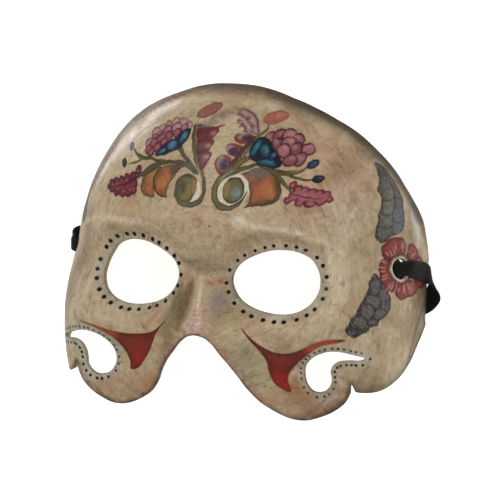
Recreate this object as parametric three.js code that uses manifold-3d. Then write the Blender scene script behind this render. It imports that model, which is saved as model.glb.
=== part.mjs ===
// A papier-mache half mask with a domed forehead, two eye holes, a nose ridge that opens
// into a notch, two cheek lobes with comma-shaped cuts, and a flat elastic band.
// Millimetres. The mask lies face up on its rim: +Z out of the face, +Y to the forehead.
import * as THREE from "three";
import { mergeVertices } from "three/addons/utils/BufferGeometryUtils.js";
import Module from "manifold-3d";

const wasm = await Module();
wasm.setup();

// Shape of the face
const HALF_WIDTH = 85.8; // centre line to a temple
const TOP_REACH = 92; // centre to the highest point of the forehead dome
const LOW_REACH = 168; // the same for the lower half, which is cut off long before that
const FACE_DEPTH = 53.4; // widest section to the front of the face
const FOREHEAD_ROUNDNESS = 2.18; // exponent of the cross-section at the forehead
const CHEEK_BOXINESS = 4.6; // the same at the cheeks, which turn back more sharply
const DOME_ROUNDNESS = 1.96; // exponent of the lengthwise section
const CHART_RADIUS = 62; // chart millimetres per radian of direction
const WALL = 2.2; // wall thickness
const REST_LEVEL = -7; // height of the table below the widest section
const MIDDLE_UP = 11.915; // eye level to the middle of the part's height

// Relief of the face
const NOSE_HEIGHT = 11;
const RIDGE_HEIGHT = 2.2;
const SOCKET_DEPTH = 5;
const CHEEKBONE_HEIGHT = 3.2;
const HOLLOW_DEPTH = 3.2;
const BROW_HEIGHT = 1.8;
const EYE_ACROSS = 34; // centre line to the middle of an eye socket

// Outlines in the chart: across from the centre line, up from the level of the eyes
const EYE_SHIFT = -1.7; // the eye holes sit a little off the centre line
const EYE = [
  [55.0, 0.4],
  [55.4, 6.6],
  [51.7, 11.9],
  [46.3, 14.8],
  [40.9, 15.8],
  [35.7, 15.7],
  [31.1, 14.6],
  [26.7, 12.9],
  [21.9, 10.3],
  [17.6, 6.2],
  [15.7, 0.4],
  [17.2, -5.6],
  [20.7, -10.4],
  [25.7, -13.4],
  [30.8, -14.7],
  [35.7, -15.0],
  [40.5, -14.2],
  [44.9, -12.2],
  [48.9, -9.1],
  [52.4, -4.9],
];
const RIGHT_COMMA = [
  [62.0, -26.9],
  [58.4, -25.6],
  [55.0, -24.9],
  [52.0, -25.2],
  [48.6, -27.0],
  [45.5, -29.8],
  [43.2, -33.0],
  [42.2, -36.2],
  [42.2, -38.8],
  [43.6, -40.4],
  [45.8, -40.2],
  [47.6, -39.2],
  [49.4, -37.2],
  [50.4, -35.0],
  [50.6, -32.6],
  [51.8, -30.2],
  [54.0, -28.4],
  [57.4, -27.6],
  [60.2, -27.6],
];
// On this side of the face the distance across counts the other way
const LEFT_COMMA = [
  [67.0, -28.7],
  [63.0, -26.8],
  [59.0, -25.5],
  [55.6, -24.7],
  [52.4, -24.8],
  [48.5, -26.1],
  [45.3, -28.4],
  [43.0, -31.2],
  [41.7, -34.2],
  [41.2, -37.0],
  [41.6, -39.0],
  [42.8, -40.3],
  [45.1, -40.6],
  [47.4, -40.0],
  [49.6, -38.5],
  [51.2, -36.5],
  [51.8, -34.2],
  [52.7, -31.8],
  [54.6, -29.4],
  [57.3, -28.1],
  [61.0, -28.1],
  [64.0, -28.6],
];
// Lower edge of the side panels, from the rim to the slit beside the cheek lobe
const RIGHT_PANEL = [
  [90.0, -33.6],
  [83.3, -38.1],
  [77.6, -39.9],
  [70.0, -39.9],
  [64.7, -39.4],
  [60.0, -38.8],
];
const LEFT_PANEL = [
  [94.0, -30.5],
  [84.0, -30.8],
  [76.0, -31.2],
  [70.5, -33.2],
  [66.5, -37.2],
  [62.0, -38.9],
];
// Edge of a cheek lobe, from the slit to the notch of the nose
const LOBE = [
  [56.2, -38.2],
  [55.7, -35.5],
  [54.8, -38.4],
  [52.4, -41.6],
  [48.4, -44.8],
  [43.6, -47.6],
  [38.6, -49.9],
  [33.5, -50.8],
  [28.6, -50.2],
  [24.2, -48.6],
  [20.8, -45.4],
  [18.3, -41.3],
  [15.4, -37.5],
  [12.2, -34.2],
  [9.0, -30.7],
  [5.6, -28.2],
  [2.6, -27.1],
];
const NOTCH_TOP = -26.7;
const BAND_HOLE = { across: 83, up: 5.4, halfAcross: 3.4, halfUp: 4.7 };

// Height of the rim above the widest section, by distance up the mask
const RIM_LEVEL = [
  [-38.2, 8.6],
  [-31.5, 1.9],
  [-27.0, -3.2],
  [-23.5, REST_LEVEL],
  [24.0, REST_LEVEL],
  [30.4, -4.5],
  [40.3, 0.2],
  [50.1, 3.8],
  [58.9, 8.2],
  [64.8, 10.8],
  [70.5, 14.3],
  [76.4, 17.2],
  [80.6, 18.6],
  [95.0, 18.2],
];
// The rim is lifted where the band folds under it: from, to, for each side
const BAND_GAP = { right: [-20, 1], left: [-2, 16] };
const BAND_LIFT = 2.5;
const LIFT_RAMP = 2.5;

// Elastic band
const BAND_WIDTH = 9;
const BAND_THICKNESS = 1;
const NECK_WIDTH = 6.2; // gathered in the hole
const NECK_THICKNESS = 1.8;
const KNOT_WIDTH = 9;
const KNOT_THICKNESS = 5;
const ON_TABLE = 0.95; // height of the band's middle where it lies on the table

// Meshing
const GRID = 3.9;
const RIM_STEPS = 88;
const BOWL = 0.002; // curvature that keeps the flat blank's facets apart while it is cut
const CUTTER = 400;

// 0 at a, 1 at b, smooth between
function smooth(a, b, v) {
  const t = Math.min(Math.max((v - a) / (b - a), 0), 1);
  return t * t * (3 - 2 * t);
}

// Smooth face without its relief: a rounded box met by the ray of a chart point
function dome(s, t) {
  const r = Math.hypot(s, t);
  const turn = r / CHART_RADIUS;
  const k = r > 1e-9 ? Math.sin(turn) / r : 1 / CHART_RADIUS;
  const dx = s * k;
  const dy = t * k;
  const dz = Math.cos(turn);
  const reach = dy > 0 ? TOP_REACH : LOW_REACH;
  const p = FOREHEAD_ROUNDNESS + (CHEEK_BOXINESS - FOREHEAD_ROUNDNESS) * smooth(0.15, -0.45, dy);
  const q = DOME_ROUNDNESS + (2 - DOME_ROUNDNESS) * smooth(0, -0.2, dy);
  const sides = Math.abs(dx / HALF_WIDTH) ** p + Math.abs(Math.max(dz, 0) / FACE_DEPTH) ** p;
  const h = (sides + 1e-12) ** (1 / p);
  const rho = (h ** q + Math.abs(dy / reach) ** q) ** (-1 / q);
  return new THREE.Vector3(rho * dx, rho * dy, rho * dz);
}

// Relief at a point of the dome: forward by the nose, outward by brow, socket and cheek
function relief(x, y) {
  const ax = Math.abs(x);
  const slope = smooth(12, -34, y) * Math.exp(-((Math.min(y + 36, 0) / 20) ** 2));
  const flank = 12 + 22 * smooth(5, -45, y);
  const fade = smooth(14, -6, y) * smooth(-45, -30, y);
  const ridge = RIDGE_HEIGHT * Math.exp(-Math.sqrt(x * x + 1) / 4.5) * fade;
  const nose = NOSE_HEIGHT * slope * Math.exp(-((ax / flank) ** 2.2)) + ridge;
  const u = Math.hypot((ax - EYE_ACROSS) / 25, (y - 1) / 20);
  const socket = -SOCKET_DEPTH * (1 - smooth(0.8, 1.28, u));
  const cheekLine = y + 25 - ((ax - 42) / 14) ** 2;
  const cheek = CHEEKBONE_HEIGHT * Math.exp(-((cheekLine / 7) ** 2) - ((ax - 44) / 28) ** 4);
  const hollow = -HOLLOW_DEPTH * Math.exp(-(((ax - 42) / 15) ** 2) - ((y + 42) / 8) ** 2);
  const browLine = y - (25 - ((ax - 25) / 12) ** 2);
  const brow = BROW_HEIGHT * Math.exp(-((browLine / 6) ** 2) - ((ax - 32) / 30) ** 4);
  return { nose, outward: socket + cheek + hollow + brow };
}

// Unit normal of a surface given as a function of the chart
function normalOf(surface, s, t, step) {
  const across = surface(s + step, t).sub(surface(s - step, t));
  const up = surface(s, t + step).sub(surface(s, t - step));
  return across.cross(up).normalize();
}

// Outer skin of the mask
function skin(s, t) {
  const p = dome(s, t);
  const { nose, outward } = relief(p.x, p.y);
  p.addScaledVector(normalOf(dome, s, t, 0.05), outward);
  p.z += nose;
  return p;
}

// A point under the skin on the table's frame; cut edges run square to the smooth face
function under(s, t, depth) {
  const p = skin(s, t);
  const through = normalOf(dome, s, t, 0.05);
  const slant = through.dot(normalOf(skin, s, t, 0.3));
  p.addScaledVector(through, -depth / slant);
  p.z -= REST_LEVEL;
  return p;
}

// Value of a list of [position, value] pairs, straight between them
function along(list, v) {
  if (v <= list[0][0]) return list[0][1];
  for (let i = 1; i < list.length; i++) {
    const [a, va] = list[i - 1];
    const [b, vb] = list[i];
    if (v <= b) return va + ((vb - va) * (v - a)) / (b - a);
  }
  return list[list.length - 1][1];
}

// Height of the rim at a point, lifted where the band passes
function rimLevel(x, y) {
  const [from, to] = x > 0 ? BAND_GAP.right : BAND_GAP.left;
  const lift = smooth(from - LIFT_RAMP, from, y) * smooth(to + LIFT_RAMP, to, y);
  return along(RIM_LEVEL, y) + BAND_LIFT * lift;
}

// Chart point of the rim in a direction of the chart, found by halving
function rimPoint(angle) {
  let inside = CHART_RADIUS;
  let outside = CHART_RADIUS * 2.2;
  const [c, n] = [Math.cos(angle), Math.sin(angle)];
  for (let i = 0; i < 40; i++) {
    const r = (inside + outside) / 2;
    const p = skin(r * c, r * n);
    if (p.z > rimLevel(p.x, p.y)) inside = r;
    else outside = r;
  }
  return new THREE.Vector2(inside * c, inside * n);
}

// The whole edge of the mask, counter-clockwise from the right cheek
function edgePoints() {
  const points = [];
  const first = Math.atan2(RIGHT_PANEL[0][1], RIGHT_PANEL[0][0]);
  const last = Math.PI - Math.atan2(LEFT_PANEL[0][1], LEFT_PANEL[0][0]);
  for (let i = 1; i < RIM_STEPS; i++) {
    points.push(rimPoint(first + ((last - first) * i) / RIM_STEPS));
  }
  for (const [s, t] of [...LEFT_PANEL, ...LOBE]) points.push(new THREE.Vector2(-s, t));
  points.push(new THREE.Vector2(0, NOTCH_TOP));
  for (const [s, t] of [...RIGHT_PANEL, ...LOBE].reverse()) points.push(new THREE.Vector2(s, t));
  return points;
}

// A smooth closed curve through chart points, on one side of the face
function smoothLoop(list, count, side, shift) {
  const through = list.map(([s, t]) => new THREE.Vector3(side * s + shift, t, 0));
  const curve = new THREE.CatmullRomCurve3(through, true, "centripetal");
  return curve.getPoints(count).slice(0, -1).map((p) => new THREE.Vector2(p.x, p.y));
}

function ellipse(across, up, a, b, count) {
  const points = [];
  for (let i = 0; i < count; i++) {
    const w = (2 * Math.PI * i) / count;
    points.push(new THREE.Vector2(across + a * Math.cos(w), up + b * Math.sin(w)));
  }
  return points;
}

// A closed geometry as a solid for cutting
function solidOf(geometry) {
  const plain = new THREE.BufferGeometry();
  const open = geometry.index ? geometry.toNonIndexed() : geometry;
  plain.setAttribute("position", open.getAttribute("position"));
  const merged = mergeVertices(plain, 1e-5);
  return new wasm.Manifold(
    new wasm.Mesh({
      numProp: 3,
      vertProperties: new Float32Array(merged.attributes.position.array),
      triVerts: new Uint32Array(merged.index.array),
    }),
  );
}

// Geometry of vertices and triangles
function geometryOf(vertices, triangles) {
  const g = new THREE.BufferGeometry();
  g.setAttribute("position", new THREE.Float32BufferAttribute(vertices, 3));
  g.setIndex(triangles);
  return g;
}

// A flat blank of the chart with a fine grid on both faces, slightly bowled
function blank() {
  const [wide, low, high] = [108, -56, 92];
  const columns = Math.round((2 * wide) / GRID);
  const rows = Math.round((high - low) / GRID);
  const vertices = [];
  const triangles = [];
  for (const level of [0, -WALL]) {
    for (let j = 0; j <= rows; j++) {
      for (let i = 0; i <= columns; i++) {
        const s = -wide + (2 * wide * i) / columns;
        const t = low + ((high - low) * j) / rows;
        vertices.push(s, t, level + BOWL * (s * s + t * t));
      }
    }
  }
  const layer = (columns + 1) * (rows + 1);
  const at = (i, j) => j * (columns + 1) + i;
  for (let j = 0; j < rows; j++) {
    for (let i = 0; i < columns; i++) {
      const [a, b, c, d] = [at(i, j), at(i + 1, j), at(i + 1, j + 1), at(i, j + 1)];
      const mirrored = i < columns / 2;
      const faces = mirrored ? [a, b, d, b, c, d] : [a, b, c, a, c, d];
      triangles.push(...faces);
      for (let f = 0; f < 6; f += 3) {
        triangles.push(faces[f + 2] + layer, faces[f + 1] + layer, faces[f] + layer);
      }
    }
  }
  const wall = (a, b) => triangles.push(b, a, a + layer, b, a + layer, b + layer);
  for (let i = 0; i < columns; i++) {
    wall(at(i, 0), at(i + 1, 0));
    wall(at(i + 1, rows), at(i, rows));
  }
  for (let j = 0; j < rows; j++) {
    wall(at(columns, j), at(columns, j + 1));
    wall(at(0, j + 1), at(0, j));
  }
  return solidOf(geometryOf(vertices, triangles));
}

// Shell: the blank cut to its outline and holes, then bent onto the face
function maskShell() {
  const outline = new THREE.Shape(edgePoints());
  outline.holes.push(new THREE.Path(smoothLoop(RIGHT_COMMA, 32, 1, 0)));
  outline.holes.push(new THREE.Path(smoothLoop(LEFT_COMMA, 34, -1, 0)));
  for (const side of [1, -1]) {
    outline.holes.push(new THREE.Path(smoothLoop(EYE, 34, side, EYE_SHIFT)));
    const { across, up, halfAcross, halfUp } = BAND_HOLE;
    outline.holes.push(new THREE.Path(ellipse(side * across, up, halfAcross, halfUp, 18)));
  }
  const cutter = new THREE.ExtrudeGeometry(outline, { depth: CUTTER, bevelEnabled: false });
  cutter.translate(0, 0, -CUTTER / 2);
  const flat = blank().intersect(solidOf(cutter));
  const mesh = flat.getMesh();
  const vertices = [];
  for (let i = 0; i < mesh.numVert; i++) {
    const [s, t, level] = mesh.vertProperties.subarray(i * mesh.numProp, i * mesh.numProp + 3);
    const depth = level - BOWL * (s * s + t * t) > -WALL / 2 ? 0 : WALL;
    vertices.push(...under(s, t, depth).toArray());
  }
  return geometryOf(vertices, Array.from(mesh.triVerts));
}

// A point beside the mask's wall: off the skin by some distance, at a chart point
function offWall(s, t, distance) {
  return under(s, t, -distance);
}

// Route of the band: place, the way its outer face looks, width and thickness
function bandRoute() {
  const route = [];
  const add = (p, look, width, thickness) => {
    route.push({ p, look: new THREE.Vector3(...look), width, thickness });
  };
  const knotted = [
    [-(WALL + 9.0), 5, 2.6],
    [-(WALL + 6.5), KNOT_WIDTH, KNOT_THICKNESS],
    [-(WALL + 3.9), KNOT_WIDTH, KNOT_THICKNESS],
    [-(WALL + 0.6), NECK_WIDTH, NECK_THICKNESS],
    [0.4, NECK_WIDTH, NECK_THICKNESS],
  ];
  const { across, up } = BAND_HOLE;
  const hole = (side, [distance, width, thickness]) => {
    add(offWall(side * across, up, distance), [-0.36 * side, 0, 0.93], width, thickness);
  };
  const place = (x, y, z, look, width = BAND_WIDTH) => {
    add(new THREE.Vector3(x, y, z), look, width, BAND_THICKNESS);
  };
  knotted.forEach((k) => hole(1, k));
  add(offWall(across + 2.4, up - 0.3, 2.3), [0.45, 0, 0.8], NECK_WIDTH, 1.5);
  add(offWall(across + 6.5, up - 1.6, 1.7), [0.98, 0, 0.2], 7.4, 1.2);
  add(offWall(across + 12.5, up - 3.6, 1.2), [1, 0, 0], 8.6, BAND_THICKNESS);
  place(88.1, -0.4, 7.0, [1, 0, -0.1]);
  place(89.2, -4.6, 4.2, [0.8, 0, -0.6]);
  place(88.0, -10.4, 1.7, [0.15, 0, -1]);
  place(82.0, -15.2, ON_TABLE, [0, 0, -1]);
  place(73.5, -11.5, ON_TABLE, [0, 0, -1]);
  place(68.0, 1.0, ON_TABLE, [0, 0, -1]);
  place(59.0, 19.0, ON_TABLE, [0, 0, -1]);
  place(38.0, 39.0, ON_TABLE, [0, 0, -1]);
  place(5.0, 49.0, ON_TABLE, [0, 0, -1]);
  place(-30.0, 44.0, ON_TABLE, [0, 0, -1]);
  place(-58.0, 27.0, ON_TABLE, [0, 0, -1]);
  place(-72.0, 12.5, ON_TABLE, [0, 0, -1]);
  place(-80.0, 8.3, ON_TABLE, [0, 0, -1]);
  place(-85.5, 7.5, 1.0, [0, 0, -1]);
  place(-91.6, 6.8, 3.4, [-0.8, 0, -0.55]);
  place(-92.2, 6.2, 9.5, [-1, 0, 0.1], 8.6);
  add(offWall(-across - 6.5, up + 0.2, 2.8), [-0.98, 0, 0.3], 7.4, 1.2);
  add(offWall(-across - 2.4, up, 2.4), [-0.45, 0, 0.8], NECK_WIDTH, 1.5);
  [...knotted].reverse().forEach((k) => hole(-1, k));
  return route;
}

// The band: a rounded strip swept along its route
function band() {
  const route = bandRoute();
  const curve = new THREE.CatmullRomCurve3(route.map((r) => r.p), false, "centripetal");
  const perSpan = 3;
  const stations = (route.length - 1) * perSpan;
  const corners = [
    [1, 0.25],
    [0.82, 1],
    [0, 1],
    [-0.82, 1],
    [-1, 0.25],
    [-1, -0.25],
    [-0.82, -1],
    [0, -1],
    [0.82, -1],
    [1, -0.25],
  ];
  const vertices = [];
  const triangles = [];
  for (let k = 0; k <= stations; k++) {
    const i = Math.min(Math.floor(k / perSpan), route.length - 2);
    const f = k / perSpan - i;
    const [a, b] = [route[i], route[i + 1]];
    const p = curve.getPoint(k / stations);
    const ahead = curve.getTangent(k / stations);
    const look = a.look.clone().lerp(b.look, f);
    const side = look.clone().cross(ahead).normalize();
    look.crossVectors(ahead, side).normalize();
    const width = a.width + (b.width - a.width) * f;
    const thickness = a.thickness + (b.thickness - a.thickness) * f;
    for (const [u, v] of corners) {
      const q = p.clone();
      q.addScaledVector(side, (u * width) / 2);
      q.addScaledVector(look, (v * thickness) / 2);
      vertices.push(q.x, q.y, q.z);
    }
  }
  const n = corners.length;
  for (let k = 0; k < stations; k++) {
    for (let c = 0; c < n; c++) {
      const [a, b] = [k * n + c, k * n + ((c + 1) % n)];
      triangles.push(a, b, b + n, a, b + n, a + n);
    }
  }
  for (let c = 1; c < n - 1; c++) {
    triangles.push(0, c + 1, c);
    const last = stations * n;
    triangles.push(last, last + c, last + c + 1);
  }
  return geometryOf(vertices, triangles);
}

const painted = new THREE.MeshStandardMaterial({ color: 0xc4ab84, roughness: 0.42, metalness: 0 });
const elastic = new THREE.MeshStandardMaterial({ color: 0x121212, roughness: 0.85, metalness: 0 });

const root = new THREE.Group();

function part(name, geometry, material) {
  const mesh = new THREE.Mesh(geometry.translate(0, -MIDDLE_UP, 0), material);
  mesh.name = name;
  root.add(mesh);
}

part("mask_shell", maskShell(), painted);
part("elastic_band", band(), elastic);

export default root;
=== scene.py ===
import math

import bpy
import numpy as np
from mathutils import Matrix, Vector
from mathutils.geometry import delaunay_2d_cdt


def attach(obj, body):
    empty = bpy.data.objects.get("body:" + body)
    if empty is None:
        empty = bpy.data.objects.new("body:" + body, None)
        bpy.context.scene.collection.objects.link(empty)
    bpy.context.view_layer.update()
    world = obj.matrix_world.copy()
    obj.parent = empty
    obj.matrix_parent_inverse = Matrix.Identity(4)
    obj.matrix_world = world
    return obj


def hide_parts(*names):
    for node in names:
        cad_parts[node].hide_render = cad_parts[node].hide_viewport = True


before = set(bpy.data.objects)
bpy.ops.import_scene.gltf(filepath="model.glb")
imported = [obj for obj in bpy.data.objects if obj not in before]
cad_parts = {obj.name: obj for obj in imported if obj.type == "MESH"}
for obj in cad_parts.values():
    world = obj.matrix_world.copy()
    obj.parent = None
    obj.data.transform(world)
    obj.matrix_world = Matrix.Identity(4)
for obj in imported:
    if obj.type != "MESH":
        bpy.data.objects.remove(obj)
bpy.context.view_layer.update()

# A painted papier-mache half mask that lies face up, and its flat elastic band.
# Shapes are worked out in millimetres and go into the meshes in metres.
MM = 0.001

# Shape of the face, as the solid has it
HALF_WIDTH = 85.8
TOP_REACH = 92.0
LOW_REACH = 168.0
FACE_DEPTH = 53.4
FOREHEAD_ROUNDNESS = 2.18
CHEEK_BOXINESS = 4.6
DOME_ROUNDNESS = 1.96
CHART_RADIUS = 62.0
WALL = 2.2
REST_LEVEL = -7.0
MIDDLE_UP = 11.915
NOSE_HEIGHT = 11.0
RIDGE_HEIGHT = 2.2
SOCKET_DEPTH = 5.0
CHEEKBONE_HEIGHT = 3.2
HOLLOW_DEPTH = 3.2
BROW_HEIGHT = 1.8
EYE_ACROSS = 34.0

# Outlines in the chart: across from the centre line, up from the level of the eyes
EYE_SHIFT = -1.7
EYE = [(55, 0.4), (55.4, 6.6), (51.7, 11.9), (46.3, 14.8), (40.9, 15.8), (35.7, 15.7), (31.1, 14.6),
    (26.7, 12.9), (21.9, 10.3), (17.6, 6.2), (15.7, 0.4), (17.2, -5.6), (20.7, -10.4), (25.7, -13.4),
    (30.8, -14.7), (35.7, -15), (40.5, -14.2), (44.9, -12.2), (48.9, -9.1), (52.4, -4.9)]
RIGHT_COMMA = [(62, -26.9), (58.4, -25.6), (55, -24.9), (52, -25.2), (48.6, -27), (45.5, -29.8),
    (43.2, -33), (42.2, -36.2), (42.2, -38.8), (43.6, -40.4), (45.8, -40.2), (47.6, -39.2), (49.4, -37.2),
    (50.4, -35), (50.6, -32.6), (51.8, -30.2), (54, -28.4), (57.4, -27.6), (60.2, -27.6)]
LEFT_COMMA = [(67, -28.7), (63, -26.8), (59, -25.5), (55.6, -24.7), (52.4, -24.8), (48.5, -26.1),
    (45.3, -28.4), (43, -31.2), (41.7, -34.2), (41.2, -37), (41.6, -39), (42.8, -40.3), (45.1, -40.6),
    (47.4, -40), (49.6, -38.5), (51.2, -36.5), (51.8, -34.2), (52.7, -31.8), (54.6, -29.4), (57.3, -28.1),
    (61, -28.1), (64, -28.6)]
RIGHT_PANEL = [(90, -33.6), (83.3, -38.1), (77.6, -39.9), (70, -39.9), (64.7, -39.4), (60, -38.8)]
LEFT_PANEL = [(94, -30.2), (84, -30.4), (76, -30.7), (70.2, -32), (66, -35), (62.8, -38.4), (60.8, -40.4)]
SLIT = [(56.2, -38.2), (55.7, -35.5), (54.8, -38.4)]
LOBE = [(52.4, -41.6), (48.4, -44.8), (43.6, -47.6), (38.6, -49.9), (33.5, -50.8), (28.6, -50.2),
    (24.2, -48.6), (20.8, -45.4), (18.3, -41.3), (15.4, -37.5), (12.2, -34.2), (9, -30.7), (5.6, -28.2),
    (2.6, -27.1)]
NOTCH_TOP = -26.7
HOLE_ACROSS = 83.0
HOLE_UP = 5.4
HOLE_HALF_ACROSS = 3.4
HOLE_HALF_UP = 4.7

# Height of the rim above the widest section, by distance up the mask
RIM_LEVEL = [(-38.2, 8.6), (-31.5, 1.9), (-27, -3.2), (-23.5, REST_LEVEL), (24, REST_LEVEL), (30.4, -4.5),
    (40.3, 0.2), (50.1, 3.8), (58.9, 8.2), (64.8, 10.8), (70.5, 14.3), (76.4, 17.2), (80.6, 18.6),
    (95, 18.2)]
RIGHT_GAP = (-20.0, 1.0)
LEFT_GAP = (-2.0, 16.0)
BAND_LIFT = 2.5
LIFT_RAMP = 6.0

# Band
BAND_WIDTH = 9.0
BAND_THICKNESS = 1.0
NECK_WIDTH = 6.2
NECK_THICKNESS = 1.8
KNOT_WIDTH = 9.0
KNOT_THICKNESS = 5.0
ON_TABLE = 0.95
RIBS = 9
POINTS_PER_RIB = 6
POINTS_PER_SPAN = 14
KNOT_SWELL = 0.10

# Meshing: steps between points, reach of the fine ones, and the rounding of cut edges
LOOP_STEP = 0.8
FINE_STEP = 0.37
COARSE_EVERY = 4
INNER_STEP = 2.6
INNER_CLEAR = 1.4
EDGE_REACH = 0.6
ROUNDING = 0.6
ROUNDING_DEPTH = 0.45
RING_OFFSETS = (0.22, 0.55)
WALL_LEVELS = (1.0, WALL - 0.8)
CHART_CORNER = (-109, -57)
CHART_SIZE = (218, 150)
ROW_RISE = 0.866
DOME_STEP = 0.05
SKIN_STEP = 0.3
RIM_DIRECTIONS = 440
RIM_HALVINGS = 30
POINTS_BLOCK = 4000
DOT_RING_POINTS = 10
DOT_RING_SHARES = (0.82, 1.18)
DOT_CLEAR = 0.4

# Painting by hand: weight of the lines, sway of the brush, and lumps of the paper, in millimetres
LINE_WEIGHT = 1.5
SLOW_SWAY = 0.12
QUICK_SWAY = 0.04
SLOW_LUMPS = 0.10
QUICK_LUMPS = 0.05
# Stands for a distance that is too great to matter
FAR = 99.0
# The brush went round the top of the nose: height of that point, and lengths of its turns
SWIRL_UP = 5
SWIRL_RADIUS = 60
SWIRL_SLOPE = 0.02


# Shape of the face


def smooth(a, b, v):
    """0 at a, 1 at b, with a smooth S between them."""
    t = np.clip((v - a) / (b - a), 0, 1)
    return t * t * (3 - 2 * t)


def dome(s, t):
    """Face without its relief: the ray of chart point (s, t), whose polar angle is its distance from the
    chart's centre, meets a rounded box given by a superellipse across and another one lengthwise."""
    r = np.hypot(s, t)
    turn = r / CHART_RADIUS
    k = np.where(r > 1e-9, np.sin(turn) / np.maximum(r, 1e-9), 1 / CHART_RADIUS)
    dx, dy, dz = s * k, t * k, np.cos(turn)
    reach = np.where(dy > 0, TOP_REACH, LOW_REACH)
    p = FOREHEAD_ROUNDNESS + (CHEEK_BOXINESS - FOREHEAD_ROUNDNESS) * smooth(0.15, -0.45, dy)
    q = DOME_ROUNDNESS + (2 - DOME_ROUNDNESS) * smooth(0.0, -0.2, dy)
    sides = np.abs(dx / HALF_WIDTH) ** p + np.abs(np.maximum(dz, 0) / FACE_DEPTH) ** p
    h = (sides + 1e-12) ** (1 / p)
    rho = (h**q + np.abs(dy / reach) ** q) ** (-1 / q)
    return np.stack([rho * dx, rho * dy, rho * dz], -1)


def relief(x, y):
    """Height of the nose forward, and of brow, socket and cheek outward: bell curves about their lines."""
    ax = np.abs(x)
    slope = smooth(12, -34, y) * np.exp(-((np.minimum(y + 36, 0) / 20) ** 2))
    flank = 12 + 22 * smooth(5, -45, y)
    fade = smooth(14, -6, y) * smooth(-45, -30, y)
    ridge = RIDGE_HEIGHT * np.exp(-np.sqrt(x * x + 1) / 4.5) * fade
    nose = NOSE_HEIGHT * slope * np.exp(-((ax / flank) ** 2.2)) + ridge
    u = np.hypot((ax - EYE_ACROSS) / 25, (y - 1) / 20)
    socket = -SOCKET_DEPTH * (1 - smooth(0.8, 1.28, u))
    cheek_line = y + 25 - ((ax - 42) / 14) ** 2
    cheek = CHEEKBONE_HEIGHT * np.exp(-((cheek_line / 7) ** 2) - ((ax - 44) / 28) ** 4)
    hollow = -HOLLOW_DEPTH * np.exp(-(((ax - 42) / 15) ** 2) - ((y + 42) / 8) ** 2)
    brow_line = y - (25 - ((ax - 25) / 12) ** 2)
    brow = BROW_HEIGHT * np.exp(-((brow_line / 6) ** 2) - ((ax - 32) / 30) ** 4)
    return nose, socket + cheek + hollow + brow


def unit(v):
    """Vectors scaled to length 1."""
    return v / np.maximum(np.linalg.norm(v, axis=-1, keepdims=True), 1e-12)


def normal_of(surface, s, t, step):
    """Unit normal of a surface over the chart, from differences across and up."""
    across = surface(s + step, t) - surface(s - step, t)
    up = surface(s, t + step) - surface(s, t - step)
    return unit(np.cross(across, up))


def skin(s, t):
    """Outer skin: the dome, moved along its normal by brow, socket and cheek, and forward by the nose."""
    p = dome(s, t)
    nose, outward = relief(p[..., 0], p[..., 1])
    p = p + normal_of(dome, s, t, DOME_STEP) * outward[..., None]
    p[..., 2] += nose
    return p


def under(s, t, depth):
    """Point at a depth under the skin, measured square to it but reached square to the dome, in the part's
    own frame."""
    through = normal_of(dome, s, t, DOME_STEP)
    slant = np.sum(through * normal_of(skin, s, t, SKIN_STEP), -1)
    p = skin(s, t) - through * (depth / slant)[..., None]
    return p - np.array([0, MIDDLE_UP, REST_LEVEL])


def rim_level(x, y):
    """Height of the rim: straight between its stations, and lifted in a smooth step where the band passes."""
    stations = np.array(RIM_LEVEL)
    start = np.where(x > 0, RIGHT_GAP[0], LEFT_GAP[0])
    stop = np.where(x > 0, RIGHT_GAP[1], LEFT_GAP[1])
    lift = smooth(0, LIFT_RAMP, y - start + LIFT_RAMP) * smooth(0, LIFT_RAMP, stop + LIFT_RAMP - y)
    return np.interp(y, stations[:, 0], stations[:, 1]) + BAND_LIFT * lift


# Outlines


def run_along(line):
    """Distance along a line, from its start to each of its points."""
    return np.r_[0, np.cumsum(np.linalg.norm(np.diff(line, axis=0), axis=1))]


def inward(loop, reach=1):
    """Unit vectors square to a loop, to its left, from its neighbours at a reach."""
    ahead = unit(np.roll(loop, -reach, 0) - np.roll(loop, reach, 0))
    return np.stack([-ahead[:, 1], ahead[:, 0]], 1)


def even(points, step, closed):
    """The same line with its points a step apart."""
    line = np.vstack([points, points[:1]]) if closed else points
    run = run_along(line)
    count = max(int(round(run[-1] / step)), 2)
    at = np.linspace(0, run[-1], count + 1)
    out = np.stack([np.interp(at, run, line[:, k]) for k in range(line.shape[1])], 1)
    return out[:-1] if closed else out


def through(points, closed=False, per_span=12):
    """A smooth curve through points: centripetal Catmull-Rom, cubic in each span, with the root of each
    span's length as its knot spacing."""
    p = np.asarray(points, float)
    if closed:
        p = np.vstack([p[-1:], p, p[:2]])
    else:
        p = np.vstack([2 * p[:1] - p[1:2], p, 2 * p[-1:] - p[-2:-1]])
    gap = np.maximum(np.sqrt(np.linalg.norm(np.diff(p, axis=0), axis=1)), 1e-4)[:, None]
    a, b, c, d = p[:-3], p[1:-2], p[2:-1], p[3:]
    g0, g1, g2 = gap[:-2], gap[1:-1], gap[2:]
    m1 = ((b - a) / g0 - (c - a) / (g0 + g1) + (c - b) / g1) * g1
    m2 = ((c - b) / g1 - (d - b) / (g1 + g2) + (d - c) / g2) * g1
    u = (np.arange(per_span) / per_span)[None, :, None]
    b, c, m1, m2 = (v[:, None, :] for v in (b, c, m1, m2))
    cubic = b + m1 * u + (3 * (c - b) - 2 * m1 - m2) * u**2 + (2 * (b - c) + m1 + m2) * u**3
    curve = cubic.reshape(-1, p.shape[1])
    return curve if closed else np.vstack([curve, p[-2:-1]])


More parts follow.
